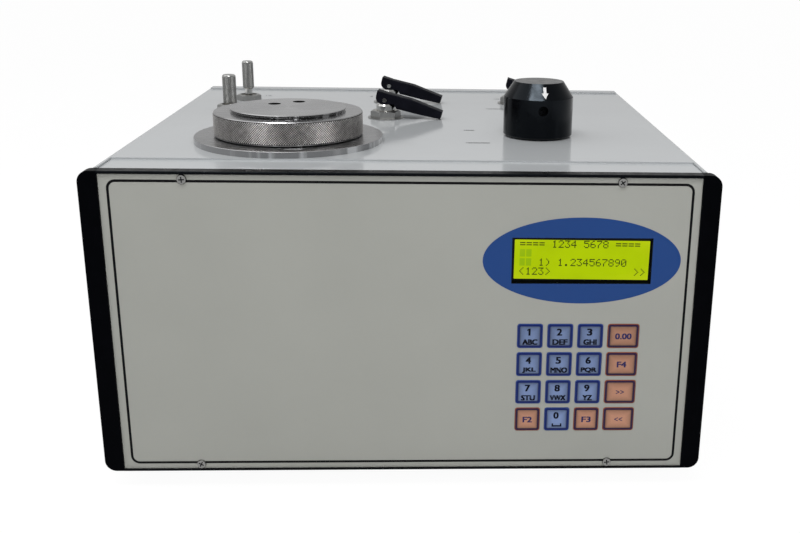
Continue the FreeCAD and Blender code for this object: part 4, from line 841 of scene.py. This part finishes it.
class METER_OT_keys(Operator):
    """Sixteen embossed keys with printed borders and legends"""
    bl_idname = "meter.keys"
    bl_label = "Keys"

    def execute(self, context):
        colours, sizes = context.scene.meter_colours, context.scene.meter_sizes
        rows = (middle("key_0").z, middle("key_2").z)
        # the third figure of each key film is the colour share under the painted shade at a pillow's foot
        blue = [key_film("key blue", colours.key_blue, 0.5, rows),
                printed_film("key blue border", colours.key_blue_edge, 0.34),
                printed_film("key blue rim", tone(56, 82, 146), 0.34)]
        salmon = [key_film("key salmon", shade(colours.key_salmon, 0.72), 0.62, rows),
                  printed_film("key purple border", colours.key_purple, 0.34),
                  printed_film("key salmon rim", tone(150, 84, 60), 0.34)]
        black = ink("key ink", colours.ink)
        navy = ink("key ink blue", colours.ink_blue)
        dress(printed_film("circuit film", tone(190, 150, 70)), "keypad_circuit")
        for key, (digit, letters, width) in KEY_LEGENDS.items():
            slot = "key_blue" if digit else "key_salmon"
            self.add_face(key, blue if digit else salmon, sizes, slot)
            self.add_legend(key, digit, letters, width * MM, black if digit else navy, slot)
        return {"FINISHED"}

    def add_face(self, key, materials, sizes, slot):
        """A key's printed border and its crowned pillow, from the film's level outwards."""
        centre, size = middle(key), span(key)
        width, height = size.x - 2 * KEY_RIM, size.z - 2 * KEY_RIM
        rise = PANEL_FACE - front(key)
        foot = RIM_PRINT + sizes.key_border
        # each ring's inset, its level from the film's face, its material and its crown, which sets the
        # pillow's painted shade and highlight
        rings = [(0.0, 0.35 * MM, 2, 0.0), (0.0, -0.06 * MM, 2, 0.0), (0.08 * MM, -0.1 * MM, 2, 0.0),
                 (RIM_PRINT, -0.12 * MM, 1, 0.0), (foot, -0.16 * MM, 0, 0.0),
                 (foot + 0.35 * MM, -0.8 * rise, 0, 0.1), (foot + 0.75 * MM, -0.95 * rise, 0, 0.45),
                 (foot + 1.8 * MM, -0.985 * rise, 0, 0.68), (foot + 3.6 * MM, -rise, 0, 1.0)]
        loops, crowns = [], []
        for inset, level, _, crown in rings:
            corner = max(PILLOW_CORNER, KEY_CORNER - 0.5 * inset)
            loop = rounded_box(centre.x, centre.z, width - 2 * inset, height - 2 * inset, corner)
            loops.append([(x, PANEL_FACE + level, z) for x, z in loop])
            crowns += [crown] * len(loop)
        mesh = lofted(loops, closed_end=True, materials=[ring[2] for ring in rings])
        thing = add_piece(key + "_face", crowned(mesh, crowns), materials, key, smooth=True)
        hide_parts(key)

    def add_legend(self, key, digit, letters, width, material, slot):
        """A digit over its letters, or a word or an arrow across the middle."""
        centre = middle(key)
        centre.y = front(key) - PRINT
        upper, lower = centre + DIGIT_SHIFT, centre + LETTER_SHIFT
        rest = (material, key, slot)
        if digit == "1":
            loop = [(upper.x + x * DIGIT[0], upper.z + z * DIGIT[0]) for x, z in DIGIT_ONE]
            add_piece(key + "_digit", filled([loop], upper.y), [material], key)
        elif digit:
            lettering(key + "_digit", digit, DIGIT_WIDTH, *DIGIT, upper, *rest)
        if not digit:
            style = ARROWS if letters in (">>", "<<") else WORD
            lettering(key + "_letters", letters, width, *style, centre, *rest)
        elif letters:
            lettering(key + "_letters", letters, width, *LETTERS, lower, *rest)
        else:
            self.add_space_mark(key, lower, width / 2, material, slot)

    def add_space_mark(self, key, place, half, material, slot):
        """The open bracket that stands for a space."""
        low, high = place.z - 1.1 * MM, place.z + 1.0 * MM
        left, right = place.x - half, place.x + half
        loop = [(left, high), (left, low), (right, low), (right, high),
                (right - SPACE_LINE, high), (right - SPACE_LINE, low + SPACE_LINE),
                (left + SPACE_LINE, low + SPACE_LINE), (left + SPACE_LINE, high)]
        add_piece(key + "_space", filled([loop], place.y), [material], key)


RING_LIP = 4.2 * MM
RING_BORE = 39.7 * MM
RING_SHOULDER = 3.9 * MM
RING_LAND = 0.6 * MM
RING_CHAMFER = 0.6 * MM


class METER_OT_lid(Operator):
    """Chamber flange, knurled lid ring and lid disc"""
    bl_idname = "meter.lid"
    bl_label = "Sample chamber and lid"

    def execute(self, context):
        colours, sizes = context.scene.meter_colours, context.scene.meter_sizes
        dress(turned_steel("chamber steel", shade(colours.steel, 0.76), CHAMBER, 0.28, 0.5),
              "chamber_body")
        # the disc's rims carry painted reflections: mostly dark, with a few bright streaks
        dress(turned_steel("disc steel", shade(colours.steel, 0.92), CHAMBER, 0.24, 0.4,
                           rim_reflection_tones=(0.22, 1.6), reflection_streak_share=(0.55, 0.6)), "lid_disc")
        dress(turned_steel("cup aluminium", tone(196, 197, 200), CHAMBER, 0.3), "sample_cup")
        dress(rubber("seal rubber", tone(16, 16, 16)), "lid_seal")
        self.add_ring(colours, sizes)
        return {"FINISHED"}

    def add_ring(self, colours, sizes):
        """The lid's ring: a shell with chamfered edges, and its knurled band."""
        foot, top = levels("lid_ring")
        radius = span("lid_ring").x / 2
        root = radius - sizes.knurl_depth
        lip = span("lid_disc").x / 2 - RING_LIP
        shell = turned([
            (root, foot + RING_LAND), (radius - RING_CHAMFER / 2, foot + RING_CHAMFER / 2),
            (radius - RING_CHAMFER, foot), (RING_BORE, foot), (RING_BORE, top - RING_SHOULDER),
            (lip, top - RING_SHOULDER), (lip, top), (radius - RING_CHAMFER, top),
            (radius - 0.2 * MM, top - 0.49 * MM), (root, top - RING_LAND)], CHAMBER, 192)
        steel = turned_steel("ring steel", shade(colours.steel, 0.76), CHAMBER, 0.2, 0.4)
        ring = add_piece("lid_ring_shell", shell, [steel], "lid_ring")
        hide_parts("lid_ring")
        band = knurled(radius, foot + RING_LAND, top - RING_LAND, CHAMBER, sizes.ring_knurl,
                       sizes.knurl_depth)
        add_piece("lid_ring_knurl", band, [knurled_metal("ring knurl", tone(226, 223, 221), 0.34)],
                  "lid_ring")


NICKEL = tone(190, 188, 180)
SLEEVE_HEIGHT = 2.0 * MM
KNURL_FOOT = 0.6 * MM
KNURL_TOP = 1.3 * MM
NEEDLE_CLEARANCE = 0.02 * MM


class METER_OT_needle_valves(Operator):
    """Two needle valves with knurled knobs and their nuts"""
    bl_idname = "meter.needle_valves"
    bl_label = "Needle valves"

    def execute(self, context):
        colours, sizes = context.scene.meter_colours, context.scene.meter_sizes
        metal = plated("knob plating", shade(colours.plating, 0.85), 0.12)
        # the last figure is the colour share that the painted shade leaves in the grooves
        knurl = knurled_metal("knob knurl", shade(colours.plating, 0.88), 0.34, 0.3)
        for needle in ("needle_front", "needle_rear"):
            dress(plated(needle + " steel", colours.plating, 0.16), needle)
            self.add_knob(needle, metal, knurl, sizes.knob_knurl, 0.5 * sizes.knurl_depth)
        dress(cut_metal("valve nickel", NICKEL, 0.3), "needle_valve_bodies")
        dress(plated("nut plating", shade(colours.plating, 0.58), 0.32, 0.0), "panel_nuts")
        return {"FINISHED"}

    def add_knob(self, needle, metal, knurl, pitch, depth):
        """A knob: its foot, its dished cap, and the knurled band between them."""
        node = needle.replace("needle", "needle_knob")
        axis, radius = middle(node), span(node).x / 2
        foot, top = levels(node)
        root = radius - depth
        bore = span(needle).x / 2 + NEEDLE_CLEARANCE
        sleeve = turned([(bore, foot + SLEEVE_HEIGHT), (bore, foot), (radius - KNURL_FOOT, foot),
                         (root, foot + KNURL_FOOT)], axis, 64)
        cap = turned([(root, top - KNURL_TOP), (radius - 0.1 * MM, top - 1.1 * MM),
                      (radius - 0.1 * MM, top - 0.8 * MM), (radius - 0.9 * MM, top),
                      (radius * 0.45, top), (radius * 0.4, top - 0.25 * MM),
                      (0.0001 * MM, top - 0.3 * MM)], axis, 64)
        shell = add_piece(node + "_shell", joined([sleeve, cap]), [metal], node,
                          smooth=True)
        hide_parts(node)
        band = knurled(radius, foot + KNURL_FOOT, top - KNURL_TOP, axis, pitch, depth)
        add_piece(node + "_knurl", band, [knurl], node)


LEVER_DROOP = math.radians(16)
LEVER_HEADING = math.radians(-6)
# places on the lever's top from its pin, along it and up from it
LEVER_HEAD = Vector((-6.6, 0, 5.02)) * MM
LEVER_TIP = Vector((40.6, 0, 4.12)) * MM
RIDGE_REACH = Vector((17.5, 0, 0)) * MM
RIDGE_RISE = 1.4 * MM
SHARP = math.radians(30)


class METER_OT_toggle_valves(Operator):
    """Three toggle valves: bonnets, stems with cross pins, and black levers"""
    bl_idname = "meter.toggle_valves"
    bl_label = "Toggle valves"

    def execute(self, context):
        colours = context.scene.meter_colours
        dress(plated("bonnet chrome", shade(colours.plating, 0.85), 0.05), "toggle_bonnets")
        dress(cut_metal("toggle valve nickel", NICKEL, 0.3), "toggle_valve_bodies")
        dress(plated("pin chrome", colours.plating, 0.12), "toggle_stem_front",
              "toggle_stem_rear", "toggle_stem_right")
        lever = satin_black("lever nylon", shade(colours.moulding, 3.0), 0.42, 0.4, 0.04)
        for node in ("toggle_handle_front", "toggle_handle_rear", "toggle_handle_right"):
            thing = add_piece(node + "_lever", self.straight_lever(node), [lever], node,
                              smooth=True)
            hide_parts(node)
        return {"FINISHED"}

    def straight_lever(self, node):
        """The lever with its top planed from head to tip, and raised to a low ridge midway."""
        turn = Matrix.Rotation(LEVER_HEADING, 3, "Z") @ Matrix.Rotation(LEVER_DROOP, 3, "Y")
        pin, along = pivot(node), LEVER_TIP - LEVER_HEAD
        solid = frame["nodes"][node]
        work = bmesh.new()
        work.from_mesh(solid.data)
        work.transform(solid.matrix_world)
        bmesh.ops.remove_doubles(work, verts=work.verts, dist=0.001 * MM)
        edges = self.cut(work, pin + turn @ LEVER_TIP, turn @ Vector((-along.z, 0, along.x)),
                         bmesh.types.BMEdge, clear_outer=True)
        bmesh.ops.holes_fill(work, edges=edges)
        ridge = self.cut(work, pin + turn @ RIDGE_REACH, turn @ Vector((1, 0, 0)), bmesh.types.BMVert)
        rises = [(turn.transposed() @ (vert.co - pin)).z for vert in ridge]
        low, high = min(rises), max(rises)
        for vert, rise in zip(ridge, rises):
            vert.co += turn @ Vector((0, 0, RIDGE_RISE * (rise - low) / (high - low)))
        mesh = finished(work)
        mesh.set_sharp_from_angle(angle=SHARP)
        return mesh

    def cut(self, work, place, facing, kind, **how):
        """Cut a solid by a plane, and give the edges or points that lie in it."""
        parts = bmesh.ops.bisect_plane(work, geom=work.verts[:] + work.edges[:] + work.faces[:],
                                       plane_co=place, plane_no=facing, **how)["geom_cut"]
        return [part for part in parts if isinstance(part, kind)]


KNOB_HEADING = math.radians(3.0)
KNOB_CROWN = 15.8 * MM
KNOB_CONE = 9.6 * MM
POINTER_HEADING = KNOB_HEADING + math.radians(3.4 - 90)
POINTER_SHAFT = 0.95 * MM
POINTER_HEAD = 2.2 * MM
POINTER_LIFT = 0.04 * MM
# where the pointer starts, widens and ends, as shares of the chamfer
POINTER_START, POINTER_NECK, POINTER_END = 0.2, 0.55, 0.9
SET_SCREW_RISE = 18.6 * MM
# radius of each ring of the set screw and its depth from the knob's axis, in millimetres
SET_SCREW_RINGS = ((3.0, 14.6), (3.0, 14.2), (2.7, 14.2), (1.4, 14.2), (1.4, 13.2), (0.01, 13.2))


class METER_OT_selector(Operator):
    """Selector valve's knob with its white pointer and set screw"""
    bl_idname = "meter.selector"
    bl_label = "Selector valve"

    def execute(self, context):
        colours = context.scene.meter_colours
        dress(satin_black("knob phenolic", shade(colours.moulding, 0.3), 0.15, 0.6, 0.18),
              "selector_knob")
        dress(cut_metal("selector aluminium", tone(190, 190, 192)), "selector_body")
        dress(plated("rotor steel", colours.plating, 0.2), "selector_rotor")
        self.add_pointer()
        self.add_set_screw()
        return {"FINISHED"}

    def add_pointer(self):
        """A white arrow down the knob's chamfer: a shaft, and a head with its tip lowest."""
        radius = span("selector_knob").x / 2
        top = levels("selector_knob")[1]
        outline = [(-POINTER_SHAFT, POINTER_START), (POINTER_SHAFT, POINTER_START),
                   (POINTER_SHAFT, POINTER_NECK), (POINTER_HEAD, POINTER_NECK),
                   (0.0, POINTER_END), (-POINTER_HEAD, POINTER_NECK),
                   (-POINTER_SHAFT, POINTER_NECK)]
        points = []
        for side, fall in outline:
            reach = KNOB_CROWN + (radius - KNOB_CROWN) * fall + POINTER_LIFT
            angle = POINTER_HEADING + side / reach
            points.append((KNOB.x + reach * math.cos(angle), KNOB.y + reach * math.sin(angle),
                           top - KNOB_CONE * fall + POINTER_LIFT))
        mesh = from_lists(points, [(0, 6, 2, 1), (6, 5, 4), (6, 4, 2), (2, 4, 3)])
        add_piece("knob_pointer", mesh, [ink("pointer white", tone(235, 235, 235))], "selector")

    def add_set_screw(self):
        """Socket set screw at the bottom of the knob's side hole."""
        level = levels("selector_knob")[0] + SET_SCREW_RISE
        mesh = lofted([[(x, -depth * MM, level + z)
                        for x, z in ellipse(radius * MM, radius * MM, 36)]
                       for radius, depth in SET_SCREW_RINGS], closed_end=True)
        mesh.transform(Matrix.Translation((KNOB.x, KNOB.y, 0)) @ Matrix.Rotation(KNOB_HEADING, 4, "Z"))
        add_piece("knob_set_screw", mesh, [satin_black("set screw", tone(24, 24, 26), 0.4)],
                  "selector")


# each mark's text, its place to the right and behind the front, and its width, in millimetres
DECK_MARKS = (("12345", 38.9, 131, 6.8), ("1234567890", 43.2, 87, 14.8),
              ("123", 65, 272, 4.4), ("12345678", 60.8, 222, 12.7), ("12", -114.4, 276, 4.7),
              ("3", -34.1, 279, 2.4))
MARK_HEIGHT = 2.2 * MM
MARK_WEIGHT = 0.36 * MM


class METER_OT_deck_marks(Operator):
    """Small printed numbers beside the deck's valves"""
    bl_idname = "meter.deck_marks"
    bl_label = "Deck numbers"

    def execute(self, context):
        black = ink("deck ink", tone(12, 12, 14))
        face = front("front_pillars")
        for number, (text, x, y, width) in enumerate(DECK_MARKS, start=1):
            lettering("deck_mark_%d" % number, text, width * MM, MARK_HEIGHT, MARK_WEIGHT,
                      (x * MM, face + y * MM, DECK + PRINT), black, "case", "case_grey",
                      upright=False)
        return {"FINISHED"}


ROCKER_TILT = math.radians(9)
ROCKER_SLOPE = math.atan2(1.8, 6.1)
ROCKER_RISE = 2.15 * MM
MARK_REACH = 3.2 * MM
MARK_HALF = 1.4 * MM
RING_HOLE = 0.9 * MM
BAR_HALF = 0.3 * MM


class METER_OT_rear(Operator):
    """Mains inlet, rocker, serial port, gas fittings and the parts inside"""
    bl_idname = "meter.rear"
    bl_label = "Rear and inner parts"

    def execute(self, context):
        dress(satin_black("inlet moulding", tone(18, 18, 19), 0.45, 0.7), "power_inlet")
        dress(satin_black("rocker moulding", tone(12, 12, 12), 0.22, 0.8), "power_rocker")
        dress(cut_metal("port plating", tone(200, 196, 180), 0.26), "serial_port")
        dress(cut_metal("fitting brass", tone(196, 170, 108), 0.22), "gas_fittings")
        dress(printed_film("solder mask", tone(20, 84, 44), 0.3), "main_board")
        dress(cut_metal("supply sheet", tone(176, 176, 176)), "power_supply")
        tank = middle("reference_chamber")
        dress(turned_steel("tank steel", tone(170, 171, 173), tank, 0.3), "reference_chamber")
        dress(cut_metal("transducer steel", tone(180, 181, 183), 0.26), "pressure_transducer")
        dress(plated("tube steel", tone(190, 190, 190), 0.2), "gas_tubes")
        self.add_rocker_marks()
        return {"FINISHED"}

    def add_rocker_marks(self):
        """A bar and a ring moulded on the rocker's two faces."""
        bar = [[(x * BAR_HALF, z * MARK_HALF) for x, z in SQUARE]]
        ring = [ellipse(half, half, 32) for half in (MARK_HALF, RING_HOLE)]
        marks = []
        for end, loops in ((1, ring), (-1, bar)):
            mark = filled(loops, 0.0)
            face = Matrix.Translation((0, ROCKER_RISE + 2 * PRINT, MARK_REACH * end))
            mark.transform(face @ Matrix.Rotation(-ROCKER_SLOPE * end, 4, "X")
                           @ Matrix.Rotation(math.pi, 4, "Z"))
            marks.append(mark)
        mesh = joined(marks)
        place = pivot("power_rocker")
        place.x = middle("power_rocker").x
        mesh.transform(Matrix.Translation(place) @ Matrix.Rotation(ROCKER_TILT, 4, "X"))
        add_piece("rocker_marks", mesh, [ink("rocker marks", tone(220, 220, 220))],
                  "power_rocker")


# ---------------------------------------------------------------- stage


WHITE = (1.0, 1.0, 1.0, 1.0)
PALE = (0.86, 0.86, 0.86)
FLOOR_REACH = 6.0
SENSOR_WIDTH = 36.0
# each light with its place, what it is aimed at, its width and its height
LIGHTS = (("top_light", (-0.8, -0.05, 1.3), (0, 0, 0.1), 1.2, 1.4),
          ("front_light", (0.15, -1.0, 0.7), (0.04, -0.17, 0.1), 0.5, 0.4),
          ("lamp", (-0.08, -0.64, 1.25), (0.08, -0.07, 0.22), 0.8, 0.13),
          ("side_light", (1.3, -0.7, 0.7), (0, 0, 0.15), 0.25, 0.9))


class METER_OT_stage(Operator):
    """Pale floor, white surroundings, soft lights and the camera"""
    bl_idname = "meter.stage"
    bl_label = "Stage"

    def execute(self, context):
        stage = context.scene.meter_stage
        context.scene.view_settings.view_transform = "Standard"
        self.add_floor()
        self.add_world(context.scene, stage.ambient)
        for name, place, target, width, height in LIGHTS:
            self.add_light(name, place, target, width, height, getattr(stage, name))
        self.add_camera(context.scene, stage)
        return {"FINISHED"}

    def add_floor(self):
        """A pale floor, nearly white to the camera and half so in reflections."""
        finish = Finish("floor paint", 0.6)
        finish.mottle(PALE, finish.noise(0.4), 0.01)
        finish.relief(finish.noise(1.5 * MM), 0.01 * MM)
        rays = finish.add("LightPath").outputs
        white = finish.add("Emission", Color=WHITE, Strength=1.05)
        mirrored = finish.math("MULTIPLY", rays["Is Glossy Ray"], 0.5)
        seen = finish.math("MAXIMUM", rays["Is Camera Ray"], mirrored)
        finish.show(finish.math("MULTIPLY", seen, 0.9), finish.shader, white, "Material Output")
        mesh = from_lists([(x * FLOOR_REACH, y * FLOOR_REACH, 0) for x, y in SQUARE], [(0, 1, 2, 3)])
        mesh.materials.append(finish.material)
        shown("floor", mesh)

    def add_world(self, scene, ambient):
        """White to the camera, and a glow from above and behind to everything else."""
        scene.world = bpy.data.worlds.new("studio")
        scene.world.use_nodes = True
        sky = Shading(scene.world.node_tree)
        place = sky.add("TexCoord").outputs["Generated"]
        lean = sky.vector("DOT_PRODUCT", place, (-0.15, 0.55, 0.7), "Value")
        glow = sky.spread(lean, ambient * 0.3, ambient * 1.9, -0.35, 0.6)
        ground = sky.add("Background", Color=WHITE, Strength=glow)
        white = sky.add("Background", Color=WHITE, Strength=1.0)
        rays = sky.add("LightPath").outputs
        seen = sky.math("MAXIMUM", rays["Is Camera Ray"], rays["Is Transmission Ray"])
        sky.show(seen, ground, white, "World Output")

    def add_light(self, name, place, target, width, height, power):
        light = bpy.data.lights.new(name, "AREA")
        light.shape = "RECTANGLE"
        light.size, light.size_y = width, height
        light.energy = power
        holder = shown(name, light)
        holder.location = place
        aim = Vector(target) - Vector(place)
        holder.rotation_euler = aim.to_track_quat("-Z", "Y").to_euler()

    def add_camera(self, scene, stage):
        """The camera, turned, tipped and rolled about its own place."""
        lens = bpy.data.cameras.new("camera")
        lens.lens = stage.focal_length
        lens.sensor_width = SENSOR_WIDTH
        lens.shift_x = stage.shift_x
        yaw, pitch, roll = stage.camera_yaw, stage.camera_pitch, stage.camera_roll
        ahead = Vector((math.sin(yaw) * math.cos(pitch), math.cos(yaw) * math.cos(pitch),
                        -math.sin(pitch)))
        level = Vector((math.cos(yaw), -math.sin(yaw), 0.0))
        upright = level.cross(ahead)
        right = level * math.cos(roll) + upright * math.sin(roll)
        up = upright * math.cos(roll) - level * math.sin(roll)
        turn = Matrix((right, up, -ahead)).transposed().to_4x4()
        scene.camera = shown("camera", lens)
        scene.camera.matrix_world = Matrix.Translation(Vector(stage.camera_place)) @ turn


# ---------------------------------------------------------------- panel and registration


PIECES = (METER_OT_case, METER_OT_front, METER_OT_display, METER_OT_keys, METER_OT_lid,
          METER_OT_needle_valves, METER_OT_toggle_valves, METER_OT_selector,
          METER_OT_deck_marks, METER_OT_rear, METER_OT_stage)
SETTINGS = {"meter_colours": MeterColours, "meter_sizes": MeterSizes, "meter_stage": MeterStage}


class METER_PT_pieces(Panel):
    """The meter's pieces and the settings that they use"""
    bl_label = "Density meter"
    bl_space_type = "VIEW_3D"
    bl_region_type = "UI"
    bl_category = "Density meter"

    def draw(self, context):
        for piece in PIECES:
            self.layout.operator(piece.bl_idname)
        for name, group in SETTINGS.items():
            box = self.layout.box()
            for setting in group.__annotations__:
                box.prop(getattr(context.scene, name), setting)


CLASSES = (*SETTINGS.values(), *PIECES, METER_PT_pieces)


def register():
    for cls in CLASSES:
        bpy.utils.register_class(cls)
    for name, group in SETTINGS.items():
        setattr(bpy.types.Scene, name, PointerProperty(type=group))


def unregister():
    for name in SETTINGS:
        delattr(bpy.types.Scene, name)
    for cls in reversed(CLASSES):
        bpy.utils.unregister_class(cls)


def main():
    register()
    for piece in PIECES:
        group, name = piece.bl_idname.split(".")
        getattr(getattr(bpy.ops, group), name)()


if __name__ == "__main__":
    main()
